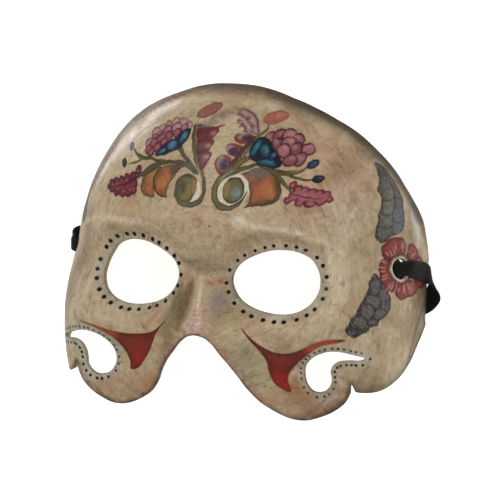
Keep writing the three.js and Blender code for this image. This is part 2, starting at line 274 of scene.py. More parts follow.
def rim_line():
    """Rim in the chart: in each direction the radius where the skin meets the rim's height, by halving."""
    first = math.atan2(RIGHT_PANEL[0][1], RIGHT_PANEL[0][0])
    last = math.pi - math.atan2(LEFT_PANEL[0][1], LEFT_PANEL[0][0])
    angle = first + (last - first) * np.arange(4, RIM_DIRECTIONS - 3) / RIM_DIRECTIONS
    inside = np.full(len(angle), CHART_RADIUS)
    outside = inside * 2.2
    for _ in range(RIM_HALVINGS):
        r = (inside + outside) / 2
        p = skin(r * np.cos(angle), r * np.sin(angle))
        above = p[:, 2] > rim_level(p[:, 0], p[:, 1])
        inside = np.where(above, r, inside)
        outside = np.where(above, outside, r)
    return np.stack([inside * np.cos(angle), inside * np.sin(angle)], 1)


def outer_loop():
    """The whole edge, counter-clockwise: rim, left panel, slit, left lobe, notch and back on the right."""
    flip = np.array([-1.0, 1.0])
    left = np.vstack([through(np.array(LEFT_PANEL) * flip), np.array(SLIT[:1]) * flip])
    right = np.array(RIGHT_PANEL + SLIT[:1])
    lobe = np.array(SLIT[2:] + LOBE)
    notch = np.vstack([lobe * flip, [[0, NOTCH_TOP]], lobe[::-1]])
    apex = np.array(SLIT[1:2])
    parts = [rim_line(), left, apex * flip, through(notch), apex, through(right[::-1])]
    return even(np.vstack(parts), LOOP_STEP, True)


def oval(across, up, half_across, half_up, count):
    """An ellipse, counter-clockwise."""
    w = 2 * math.pi * np.arange(count) / count
    return np.stack([across + half_across * np.cos(w), up + half_up * np.sin(w)], 1)


def hole_loops():
    """The openings by name, clockwise, so that the paper is on their left as they run."""
    loops = {}
    for side, name in ((1, "right"), (-1, "left")):
        eye = np.array(EYE) * [side, 1] + [EYE_SHIFT, 0]
        comma = np.array(RIGHT_COMMA if side > 0 else LEFT_COMMA) * [side, 1]
        loops[name + " eye"] = through(eye, True)
        loops[name + " comma"] = through(comma, True)
        loops[name + " hole"] = oval(side * HOLE_ACROSS, HOLE_UP, HOLE_HALF_ACROSS, HOLE_HALF_UP, 72)
    for name, loop in loops.items():
        if turning(loop) > 0:
            loop = loop[::-1]
        loops[name] = even(loop, LOOP_STEP, True)
    return loops


def turning(loop):
    """Twice the signed area of a loop, above zero where it runs counter-clockwise."""
    ahead = np.roll(loop, -1, 0)
    return np.sum(loop[:, 0] * ahead[:, 1] - loop[:, 1] * ahead[:, 0])


def distance_to(line, points, closed=True):
    """Distance from points to a line of straight pieces, and the share of the line's length there."""
    a = line if closed else line[:-1]
    d = (np.roll(line, -1, 0) if closed else line[1:]) - a
    run = np.linalg.norm(d, axis=1)
    start = np.r_[0, np.cumsum(run)]
    best = np.full(len(points), 1e9)
    place = np.zeros(len(points))
    for k in range(0, len(points), POINTS_BLOCK):
        q = points[k : k + POINTS_BLOCK, None, :] - a[None]
        u = np.clip(np.sum(q * d, -1) / np.maximum(run**2, 1e-12), 0, 1)
        gap = np.linalg.norm(q - u[..., None] * d, axis=-1)
        i = np.argmin(gap, 1)
        rows = np.arange(len(i))
        best[k : k + POINTS_BLOCK] = gap[rows, i]
        place[k : k + POINTS_BLOCK] = (start[i] + u[rows, i] * run[i]) / start[-1]
    return best, place


def inside(loop, points):
    """Whether points are inside a loop, by counting the sides that a ray across passes."""
    a, b = loop, np.roll(loop, -1, 0)
    out = np.zeros(len(points), bool)
    low = np.minimum(a, b).min(0)
    high = np.maximum(a, b).max(0)
    near = np.flatnonzero(np.all((points >= low) & (points <= high), 1))
    for k in range(0, len(near), POINTS_BLOCK):
        p = points[near[k : k + POINTS_BLOCK]]
        x, y = p[:, :1], p[:, 1:]
        spans = (a[:, 1] > y) != (b[:, 1] > y)
        rise = np.where(np.abs(b[:, 1] - a[:, 1]) < 1e-12, 1e-12, b[:, 1] - a[:, 1])
        cross = a[:, 0] + (y - a[:, 1]) / rise * (b[:, 0] - a[:, 0])
        out[near[k : k + POINTS_BLOCK]] = np.sum(spans & (x < cross), 1) % 2 == 1
    return out


# Paint


def pigment(red, green, blue):
    """A colour given as a painter would read it off a 0 to 255 chart, in linear light."""
    v = np.array([red, green, blue]) / 255
    return np.where(v < 0.04045, v / 12.92, ((v + 0.055) / 1.055) ** 2.4)


CREAM = (190, 169, 136)
OLIVE = (100, 94, 52)
OLIVE_DARK = (58, 52, 32)
MOSS = (146, 130, 66)
ORANGE = (182, 116, 72)
AMBER = (172, 120, 58)
RUST = (166, 78, 48)
BROWN = (70, 56, 36)
PINK = (176, 110, 112)
PINK_LIGHT = (204, 148, 146)
ROSE = (142, 74, 86)
BLUSH = (188, 148, 142)
PLUM = (92, 34, 50)
MAROON = (108, 46, 58)
MAROON_DARK = (66, 38, 42)
RED_BROWN = (122, 42, 34)
VIOLET = (58, 56, 82)
CRIMSON = (124, 46, 58)
CRIMSON_LIGHT = (164, 84, 92)
CRIMSON_DARK = (64, 20, 32)
NAVY = (20, 30, 48)
SALMON = (160, 94, 78)
SLATE = (100, 94, 90)
SLATE_DARK = (48, 44, 44)
SLATE_BLUE = (100, 104, 120)
BLOOD = (126, 46, 34)
BLOOD_DARK = (80, 28, 24)
BLOOD_BRIGHT = (154, 40, 34)
DUSTY = (142, 72, 66)
DUSTY_DARK = (94, 36, 34)
DUSTY_LIGHT = (222, 170, 156)
INK = (12, 12, 12)
EDGE_GREY = (166, 162, 146)
SMOKE = (88, 72, 76)
BONE = (214, 204, 178)
PAPER = (166, 146, 114)
CUT_EDGE = (96, 88, 74)
RIM_EDGE = (84, 70, 56)


def oval_gap(points, centre, radii, turn=0.0):
    """Distance to a turned ellipse, from how far its scaled radius is past 1."""
    d = points - np.asarray(centre)
    c, n = math.cos(math.radians(turn)), math.sin(math.radians(turn))
    q = np.stack([d[:, 0] * c + d[:, 1] * n, d[:, 1] * c - d[:, 0] * n], 1) / np.asarray(radii)
    f = np.maximum(np.linalg.norm(q, axis=1), 1e-6)
    slope = np.linalg.norm(q / np.asarray(radii), axis=1) / f
    return (f - 1) / np.maximum(slope, 1e-6)


def wobble(points):
    """Points moved by slow sines of up to a sixth of a millimetre, so that painted lines run by hand."""
    s, t = points[:, 0], points[:, 1]
    across = SLOW_SWAY * np.sin(1.31 * t + 0.9 * np.sin(0.83 * s)) + QUICK_SWAY * np.sin(3.1 * t - 1.9 * s)
    up = SLOW_SWAY * np.sin(1.17 * s + 0.8 * np.sin(0.71 * t)) + QUICK_SWAY * np.sin(2.8 * s + 2.1 * t)
    return points + np.stack([across, up], 1)


class Canvas:
    """Paint on points of the chart, each colour laid over the last one, with the distance from each point to
    the nearest painted edge, which says how fine the mesh has to be there, the share of bare ground and the
    share of hatching."""

    def __init__(self, points):
        self.points = points
        self.colour = np.tile(pigment(*CREAM), (len(points), 1))
        self.edge = np.full(len(points), FAR)
        self.ground = np.ones(len(points))
        self.hatch = np.zeros(len(points))

    def near(self, centre, reach):
        """The points within a reach of a centre."""
        d = self.points - np.asarray(centre)
        return np.flatnonzero(np.sum(d * d, 1) < reach * reach)

    def mix_in(self, where, cover, colour):
        """A share of a colour, given in linear light or as a tuple off the chart."""
        if isinstance(colour, tuple):
            colour = pigment(*colour)
        self.colour[where] += cover[:, None] * (colour - self.colour[where])

    def lay(self, where, distance, colour, strength=1.0, soft=0.3):
        """Colour on the points whose distance to a shape is below zero, over a soft edge."""
        cover = strength * np.clip(0.5 - distance / soft, 0, 1)
        self.mix_in(where, cover, colour)
        if strength > 0.4 and soft < 1:
            self.edge[where] = np.minimum(self.edge[where], np.abs(distance))
            self.ground[where] = np.minimum(self.ground[where], 1 - cover)

    def fill(self, shape, colour, line=None, width=0.5, shade=0.0, reach=1.6, strength=1.0):
        """A shape with its colour, darker towards its edge by shade, and a painted line round it."""
        where, distance = shape
        self.lay(where, distance, colour, strength)
        if line is not None:
            s, t = self.points[where].T
            sway = 0.35 * np.sin(0.9 * s + 0.6 * np.sin(1.3 * t)) * np.cos(0.8 * t)
            width = width * LINE_WEIGHT * (0.9 + sway)
            if shade:
                deep = strength * shade * smooth(-reach, 0, distance) * (distance < 0)
                self.mix_in(where, deep, line)
            self.lay(where, np.abs(distance + width / 2) - width / 2, line, strength * 0.9)

    def tint(self, shape, centre, radii, turn, colour, strength=0.7, soft=1.6):
        """A soft oval of colour, kept inside a shape."""
        where, distance = shape
        gap = oval_gap(self.points[where], centre, radii, turn)
        cover = strength * np.clip(0.5 - gap / soft, 0, 1) * np.clip(0.5 - distance / 0.35, 0, 1)
        self.mix_in(where, cover, colour)

    def blur(self, shape, colour, strength, soft):
        """A shape without an edge: a stain of the ground, or painted light or shade on it."""
        where, distance = shape
        self.mix_in(where, strength * np.clip(0.5 - distance / soft, 0, 1), colour)

    def oval(self, centre, radii, turn=0.0):
        """A turned ellipse."""
        where = self.near(centre, max(radii) + 3 + 0.6 * max(radii))
        return where, oval_gap(self.points[where], centre, radii, turn)

    def stroke(self, path, widths):
        """A smooth line whose width runs through the values given."""
        line = through(path, False, 6)
        centre = (line.min(0) + line.max(0)) / 2
        where = self.near(centre, np.linalg.norm(line - centre, axis=1).max() + max(widths) + 3)
        gap, share = distance_to(line, self.points[where], False)
        return where, gap - np.interp(share, np.linspace(0, 1, len(widths)), widths) / 2

    def patch(self, path):
        """A smooth closed outline."""
        line = through(path, True, 5)
        centre = (line.min(0) + line.max(0)) / 2
        where = self.near(centre, np.linalg.norm(line - centre, axis=1).max() + 3)
        gap, _ = distance_to(line, self.points[where])
        return where, np.where(inside(line, self.points[where]), -gap, gap)

    def within(self, shape, bounds):
        """A shape cut off at the outline of another one."""
        whole = np.full(len(self.points), FAR)
        whole[bounds[0]] = bounds[1]
        where, gap = shape
        return where, np.maximum(gap, whole[where])

    def lobes(self, ovals):
        """Ovals grown together into one shape: centre, radii and turn of each."""
        middle = np.mean([o[0] for o in ovals], 0)
        reach = max(math.dist(o[0], middle) + max(o[1]) for o in ovals) + 3
        where = self.near(middle, reach)
        gaps = [oval_gap(self.points[where], *o) for o in ovals]
        return where, np.min(gaps, 0)

    def scales(self, centres, radii, colours, line, turn=0.0, width=0.4, light=None):
        """Rounded petals one over another, in the order given, with their colours taking turns."""
        for k, centre in enumerate(centres):
            sway, nod = math.sin(7.3 * k + radii[0]), math.cos(4.7 * k + radii[1])
            own = (centre[0] + 0.35 * sway, centre[1] + 0.3 * nod)
            own_radii = (radii[0] * (1 + 0.12 * nod), radii[1] * (1 - 0.12 * sway))
            shape = self.oval(own, own_radii, turn + 16 * sway)
            self.fill(shape, pigment(*colours[k % len(colours)]) * (1 + 0.16 * nod), line, width, 0.5, 1.4)
            if light is not None:
                spot = (own[0] + 0.4 * radii[0] * nod, own[1] + 0.35 * radii[1])
                self.tint(shape, spot, (radii[0] * 0.5, radii[1] * 0.3), turn + 20 * nod, light, 0.35, 1.0)


def left_spray(c):
    """Spray on the left of the forehead: a curled stem, two orange petals, a pink bloom in a blue cup,
    buds, and a crimson leaf."""
    first = c.patch([(-27.1, 49.8), (-31.4, 48.2), (-35.1, 45.8), (-36.7, 42.6), (-37.2, 39.2),
        (-35.7, 37.2), (-32.1, 36.9), (-29.7, 37.5), (-30.4, 40.3), (-30.2, 44), (-28.4, 46.7)])
    c.fill(first, ORANGE, (92, 72, 38), 0.5, 0.75, 2.6)
    c.tint(first, (-31.2, 39.5), (2.2, 2.6), 0, RUST, 0.45)
    c.tint(first, (-31, 45.5), (2.4, 2), 30, AMBER, 0.6)
    c.tint(first, (-34.6, 41), (1.2, 4), -10, (104, 78, 40), 0.6, 1.6)
    second = c.patch([(-26.6, 49.9), (-21.9, 51.3), (-17.2, 52.2), (-14.2, 51.9), (-16.8, 50.2),
        (-18.9, 47.8), (-21, 45), (-22.9, 41.5), (-23, 37.8), (-25.8, 38.1), (-28.3, 38.8), (-30, 41.2),
        (-29.9, 44.2), (-28.4, 46.9)])
    c.fill(second, ORANGE, (96, 70, 40), 0.4, 0.7, 2.6)
    c.tint(second, (-27, 40.5), (2.6, 2.4), 0, RUST, 0.5)
    c.tint(second, (-26, 46.5), (3.2, 2.4), 40, RUST, 0.5)
    c.tint(second, (-17.5, 50.3), (6, 2.6), 20, BROWN, 0.85, 2.4)
    c.tint(second, (-24.5, 39.6), (3, 1.2), 0, (96, 70, 40), 0.6, 1.8)
    c.tint(second, (-27.6, 47.6), (1.6, 2.6), -40, (112, 78, 44), 0.6, 1.8)
    c.fill(c.stroke([(-27.5, 49.1), (-30.1, 45.9), (-30.7, 42.9), (-30, 40.4), (-27.8, 38.5),
        (-23.2, 37.8)], [0.4, 0.9, 1, 0.9, 0.8, 0.7]), OLIVE_DARK)
    c.fill(c.stroke([(-33.3, 47.5), (-36, 44.9), (-37.2, 41.8), (-37.1, 38.9), (-35.2, 37), (-30.4, 37.2)],
        [0.8, 0.9, 0.8, 0.8, 0.9, 1]), (92, 82, 50))
    c.fill(c.stroke([(-41.9, 42.3), (-38.5, 44.5), (-34.3, 47.3), (-29.7, 50.2), (-25.5, 51.8), (-21, 52.4),
        (-16.8, 52.8), (-13, 51.9), (-9, 49.9)], [0.6, 1.8, 2.3, 2.2, 1.8, 1.4, 1.6, 2, 1.8]), (88, 82, 52),
        OLIVE_DARK, 0.3, 0.4)
    scroll = [(-8.3, 53.4), (-5.8, 50.5), (-3.8, 47.1), (-3, 42.4), (-4.9, 38.1), (-9.6, 36.1),
        (-15.1, 36.7), (-17.7, 39.1), (-18.1, 42.9), (-16.8, 46.3), (-13.6, 48.1), (-9.7, 48.1),
        (-7.5, 46.5)]
    disc = c.patch([(-16.8, 46.3), (-13.6, 48.3), (-9.7, 48.3), (-7.3, 46.2), (-7.2, 43), (-8.6, 39.8),
        (-10.4, 37.6), (-15.1, 36.7), (-17.7, 39.1), (-18.1, 42.9)])
    c.fill(c.oval((-10.2, 42.2), (5.6, 5.4), 0), BONE)
    c.fill(disc, OLIVE, OLIVE_DARK, 0.5, 0.5, 2)
    c.tint(disc, (-12.6, 41), (2.4, 3.6), -20, MOSS, 0.6, 2.4)
    c.tint(disc, (-14.4, 42.9), (1.8, 2.6), 0, OLIVE_DARK, 0.8, 2)
    c.tint(disc, (-8.4, 44.5), (1.2, 3.4), 0, (164, 112, 60), 0.9, 1.4)
    c.fill(c.stroke([(-18.3, 57.8), (-16.5, 56), (-12.6, 53.4), (-9.2, 51), (-7.5, 49.4)],
        [2.6, 1.6, 1.6, 1.7, 1.2]), (92, 84, 48), OLIVE_DARK, 0.3, 0.4)
    c.fill(c.stroke([(-7.7, 67.1), (-10.4, 67.1), (-13.1, 66.2)], [0.3, 0.9, 1]), OLIVE_DARK)
    c.fill(c.stroke([(-11.5, 69.2), (-12.4, 67.6), (-12.2, 65.8)], [0.6, 0.9, 0.8]), (150, 142, 106))
    c.fill(c.stroke([(-12.9, 66.6), (-12.5, 63.3), (-10.9, 58.6), *scroll], [1.4, 1.9, 2.1, 2.3, 2.2, 1.9,
        1.9, 2.1, 2.4, 2.6, 2.4, 1.8, 1.4, 1.2, 1.2, 0.5]), (100, 90, 48), OLIVE_DARK, 0.4, 0.5, 1.2)
    c.fill(c.stroke([(-8.9, 53.5), (-7.1, 51), (-5.2, 48.4), (-4.6, 45)], [0.2, 0.5, 0.6, 0.2]), MOSS)
    for k in range(10):
        u = k / 9
        bead = (-14.2 + 2.8 * u + 0.5 * math.sin(5 * k), 62 - 7.4 * u)
        c.fill(c.oval(bead, (0.4, 0.35)), (190, 128, 110), strength=0.6)
    c.fill(c.stroke([(-44, 53.9), (-41, 52.2), (-38.2, 51.6), (-34.1, 52.1), (-30, 51.8), (-25, 52.1)],
        [0.7, 1.6, 1.5, 1.2, 1.1, 1.4]), (92, 86, 44), OLIVE_DARK, 0.25, 0.3)
    c.fill(c.stroke([(-46.1, 47.7), (-41.9, 49.1), (-38.5, 50.8)], [0.5, 0.9, 1.2]), (92, 86, 44))
    c.fill(c.oval((-46, 54.9), (1.3, 1.9), 25), (112, 126, 130), SLATE_BLUE, 0.4, 0.4)
    c.fill(c.oval((-48.7, 47.8), (1.5, 1.8)), (48, 60, 72), INK, 0.5, 0.5)
    leaf = [((-39.7, 46.4), (1.5, 2.2), -25), ((-42.4, 43.8), (1.9, 1.7), 30), ((-46, 42.3), (1.9, 1.9), 0),
        ((-49.2, 40.9), (1.8, 1.6), 0), ((-52.4, 40), (1.7, 1.5), 0), ((-55.2, 38.8), (1.7, 1.4), 0),
        ((-56.6, 36.8), (1.4, 1.3), 0), ((-54.6, 35.7), (1.6, 1.4), 0), ((-51.6, 35), (1.7, 1.5), 0),
        ((-48.2, 35.2), (1.9, 1.6), 0), ((-44.6, 36.2), (2.1, 1.9), 0), ((-41.8, 38.2), (2, 2.2), 0),
        ((-48, 38.5), (7.4, 2.9), 12), ((-42, 40.6), (2.6, 2.6), 30)]
    c.fill(c.lobes(leaf), CRIMSON, CRIMSON_DARK, 0.5, 0.6, 1.8)
    for centre in ((-54.6, 38), (-51.6, 38.6), (-46.2, 41.2), (-47.2, 36.4), (-43.6, 37.6), (-50.8, 36.4),
            (-39.9, 46), (-41.6, 38.6)):
        c.fill(c.oval(centre, (1.3, 0.9), 20), CRIMSON_LIGHT, CRIMSON_DARK, 0.3, 0.5, 1)
    c.fill(c.stroke([(-55, 37.1), (-48.3, 38.8), (-43.8, 41), (-40.2, 43.6)], [0.3, 0.6, 0.9, 1]),
        CRIMSON_DARK)
    c.scales([(-16.4, 66.4), (-19.4, 67), (-23, 66.8), (-26.8, 65.6), (-30.2, 63.8), (-33.6, 62)],
        (2.3, 1.8), [(180, 142, 130), (166, 124, 118)], (104, 66, 70), 18, 0.28, BLUSH)
    c.scales([(-18.6, 65.2), (-22.2, 64.8), (-26.4, 63.4), (-30.2, 61.4), (-33.4, 59.6), (-36, 57.6)],
        (2.5, 1.9), [(148, 92, 98), (166, 118, 114)], (84, 36, 48), 28, 0.35, BLUSH)
    c.scales([(-35.6, 55.4), (-32.6, 57.8), (-29.2, 60), (-25.4, 61.8), (-21.4, 63.2)], (2.5, 2), [ROSE,
        (142, 80, 90)], CRIMSON_DARK, 32, 0.42, PINK)
    c.scales([(-34, 54.4), (-30.8, 56.6), (-27.4, 58.8)], (2.3, 1.7), [ROSE], CRIMSON_DARK, 36, 0.4, PINK)
    cup = c.patch([(-31.6, 53.8), (-30.3, 55.9), (-27.3, 58.3), (-25.6, 59.5), (-21.6, 61.3), (-20.2, 63.1),
        (-17.8, 64.7), (-14.7, 65.6), (-14.4, 63.7), (-15.7, 61), (-18.4, 58.1), (-21.9, 56.4),
        (-26.4, 54.4), (-30.3, 53.4)])
    c.fill(cup, NAVY, INK, 0.3, 0.3)
    for centre, radii, turn, colour in (
        ((-17.6, 62.2), (3, 1.7), 50, (52, 90, 116)),
        ((-23, 58.5), (3.1, 2.1), 25, (56, 98, 122)),
        ((-28, 55.6), (2.6, 1), 30, (62, 98, 120)),
    ):
        shape = c.oval(centre, radii, turn)
        c.fill(shape, colour, (12, 20, 34), 0.35, 0.6, 1.2)
        c.tint(shape, (centre[0] + 0.3, centre[1] + 0.3), (radii[0] * 0.5, radii[1] * 0.35), turn,
            (102, 148, 162), 0.5, 0.7)
    bud = c.oval((-7.7, 72.7), (6.1, 2.2), 24)
    c.fill(bud, (150, 96, 84), (112, 62, 58), 0.3, 0.6, 1.6)
    for k in range(4):
        path = [(-11.6 + 0.3 * k, 71.6 - 0.55 * k + 1), (-7.6, 73.4 - 0.7 * k), (-3.6 - 0.4 * k,
            74.7 - 0.5 * k)]
        c.blur(c.stroke(path, [0.2, 0.5, 0.2]), (126, 74, 72), 0.55, 0.5)


def middle_leaves(c):
    """Leaves between the sprays: dark lobes in red-brown lines, a pale feather leaf, and a grey smear."""
    c.fill(c.patch([(-11.6, 66), (-6.5, 66.8), (-3, 66.8), (-1.8, 64), (-3.4, 61.8), (-2.6, 59.4),
        (-4, 57.6), (-3.2, 54.6), (-5.2, 51.2), (-7.4, 53), (-9.2, 58), (-10.8, 62)]), (62, 32, 32),
        RED_BROWN, 0.3, 0.3)
    c.fill(c.stroke([(-9.6, 64.6), (-8.9, 60.5), (-7.9, 56.5), (-6.2, 52.4)], [1.6, 2.6, 2.4, 0.6]),
        MAROON_DARK)
    c.fill(c.stroke([(-4.6, 66.2), (-1.2, 67), (2.2, 68.2)], [0.9, 0.9, 0.3]), RED_BROWN)
    for outline, colour, spot, light in (
        ([(-10.4, 64.9), (-6.5, 66.4), (-2.4, 67.2), (-0.4, 66), (-1.3, 64.1), (-5.3, 62.3), (-9.6, 62.4)],
         MAROON, (-3, 64.7), (176, 124, 120)),
        ([(-9.3, 60.8), (-5.2, 61.9), (-1.9, 62.3), (-1.9, 60.6), (-3.2, 59.2), (-5.4, 58.2), (-8.7, 58.6)],
         (118, 78, 74), (-4.4, 60.2), (182, 146, 130)),
        ([(-7.6, 55.3), (-6.2, 57.6), (-3.6, 58.5), (-1.6, 57.2), (-2.2, 54.8), (-3.8, 52.6), (-5.8, 50.7),
         (-6.9, 52.6)], (122, 70, 84), (-4.3, 56), (184, 132, 130)),
    ):
        shape = c.patch(outline)
        c.fill(shape, pigment(*colour) * 0.8, (108, 38, 30), 0.6, 0.6, 1.8)
        c.tint(shape, spot, (1.5, 0.7), 10, light, 0.75, 1.2)
    for path, widths in (
        ([(-11.3, 66.7), (-6.5, 67.6), (-2.5, 68.6), (1.6, 70.6)], [1.6, 2, 1.6, 0.4]),
        ([(-5.1, 71), (-0.7, 72), (3.2, 72.7), (8.3, 74)], [0.8, 1.6, 1.2, 1.4]),
        ([(-8.5, 68.8), (-2.6, 70.6), (4.2, 72.2)], [0.8, 1, 0.5]),
    ):
        c.blur(c.stroke(path, widths), SMOKE, 0.55, 1.1)
    outline = [(5.8, 71.7), (8.2, 73.6), (10.8, 73.7), (13.6, 72.4), (16.8, 69.8), (18.6, 66.6),
        (18.9, 64.2), (16.2, 64.9), (13.6, 65.2), (11.2, 65.7), (11.4, 67), (8.8, 67), (9.8, 68.8),
        (7.2, 69.7), (8.8, 70.9)]
    c.fill(c.patch(outline), (154, 120, 112), (104, 62, 68), 0.3, 0.5, strength=0.85)
    notches = (7, 10, 12, 14)
    plain = c.patch([p for k, p in enumerate(outline) if k not in notches])
    for shift in (0, 1.3, 2.6, 3.9, 5.2):
        path = [(9.4 - shift, 73.6 - 0.5 * shift), (13.4 - shift, 72 - 0.6 * shift),
            (16.6 - shift, 69 - 0.3 * shift), (18.4 - shift, 65.2)]
        where, gap = c.within(c.stroke(path, [0.3, 0.6, 0.7, 0.3]), plain)
        c.lay(where, gap, (180, 150, 142) if shift % 2.6 else (92, 52, 68), 0.75)
    for centre in ((12.2, 70.6), (15.2, 67.4)):
        c.blur(c.oval(centre, (1.2, 0.7), -20), VIOLET, 0.7, 0.8)
    for outline, heart, radii, turn in (
        ([(7.9, 63.4), (8.6, 64.5), (10.7, 65), (16.3, 64.4), (17.7, 62.9), (15.2, 61.6), (12.3, 61.2),
         (9.2, 61.9)], (13.6, 63.2), (2.4, 1.1), 0),
        ([(4.9, 59.4), (5.4, 60.9), (7.2, 61.5), (10.2, 60.9), (12.5, 60.6), (13.6, 59.6), (12.8, 57.7),
         (10.1, 56.5), (6.9, 57.3)], (8.9, 58.6), (2.4, 1.4), -10),
        ([(0.7, 54.3), (1.3, 56), (3.2, 56.9), (6.4, 57), (8.6, 55.6), (8.8, 52.9), (7, 50.9), (4.6, 49.5),
         (2.2, 51.1)], (5.3, 53.7), (1.9, 2.2), 15),
    ):
        shape = c.patch(outline)
        c.fill(shape, (112, 72, 74), (122, 46, 36), 0.65, 0.6, 1.6)
        c.tint(shape, (heart[0] - 1.4, heart[1] + 0.6), (radii[0] * 1.1, radii[1] * 1.1), turn,
            (172, 136, 126), 0.7, 0.8)
        c.tint(shape, heart, radii, turn, (44, 42, 64), 0.95, 0.7)
    c.fill(c.stroke([(17.5, 63.4), (13.9, 59.4), (11.3, 55.9), (8.7, 53)], [1.4, 2.2, 2.2, 2]),
        (84, 58, 46), MAROON_DARK, 0.4, 0.5)
    c.fill(c.stroke([(17.2, 56.3), (13.9, 54.3), (10.3, 52.1), (6.8, 49.3)], [1.6, 2.6, 2.6, 2]),
        (122, 102, 58), OLIVE_DARK, 0.3, 0.4)
    for k, bead in enumerate(((17, 60.7), (16.4, 59.5), (16.3, 58.3), (15.4, 57.7), (14.8, 56.6),
            (13.6, 55.8), (16.9, 57.2), (15.9, 56.6), (14.2, 57.6))):
        c.fill(c.oval(bead, (0.55, 0.42), 50 * k), (208, 140, 118), RED_BROWN, 0.2)


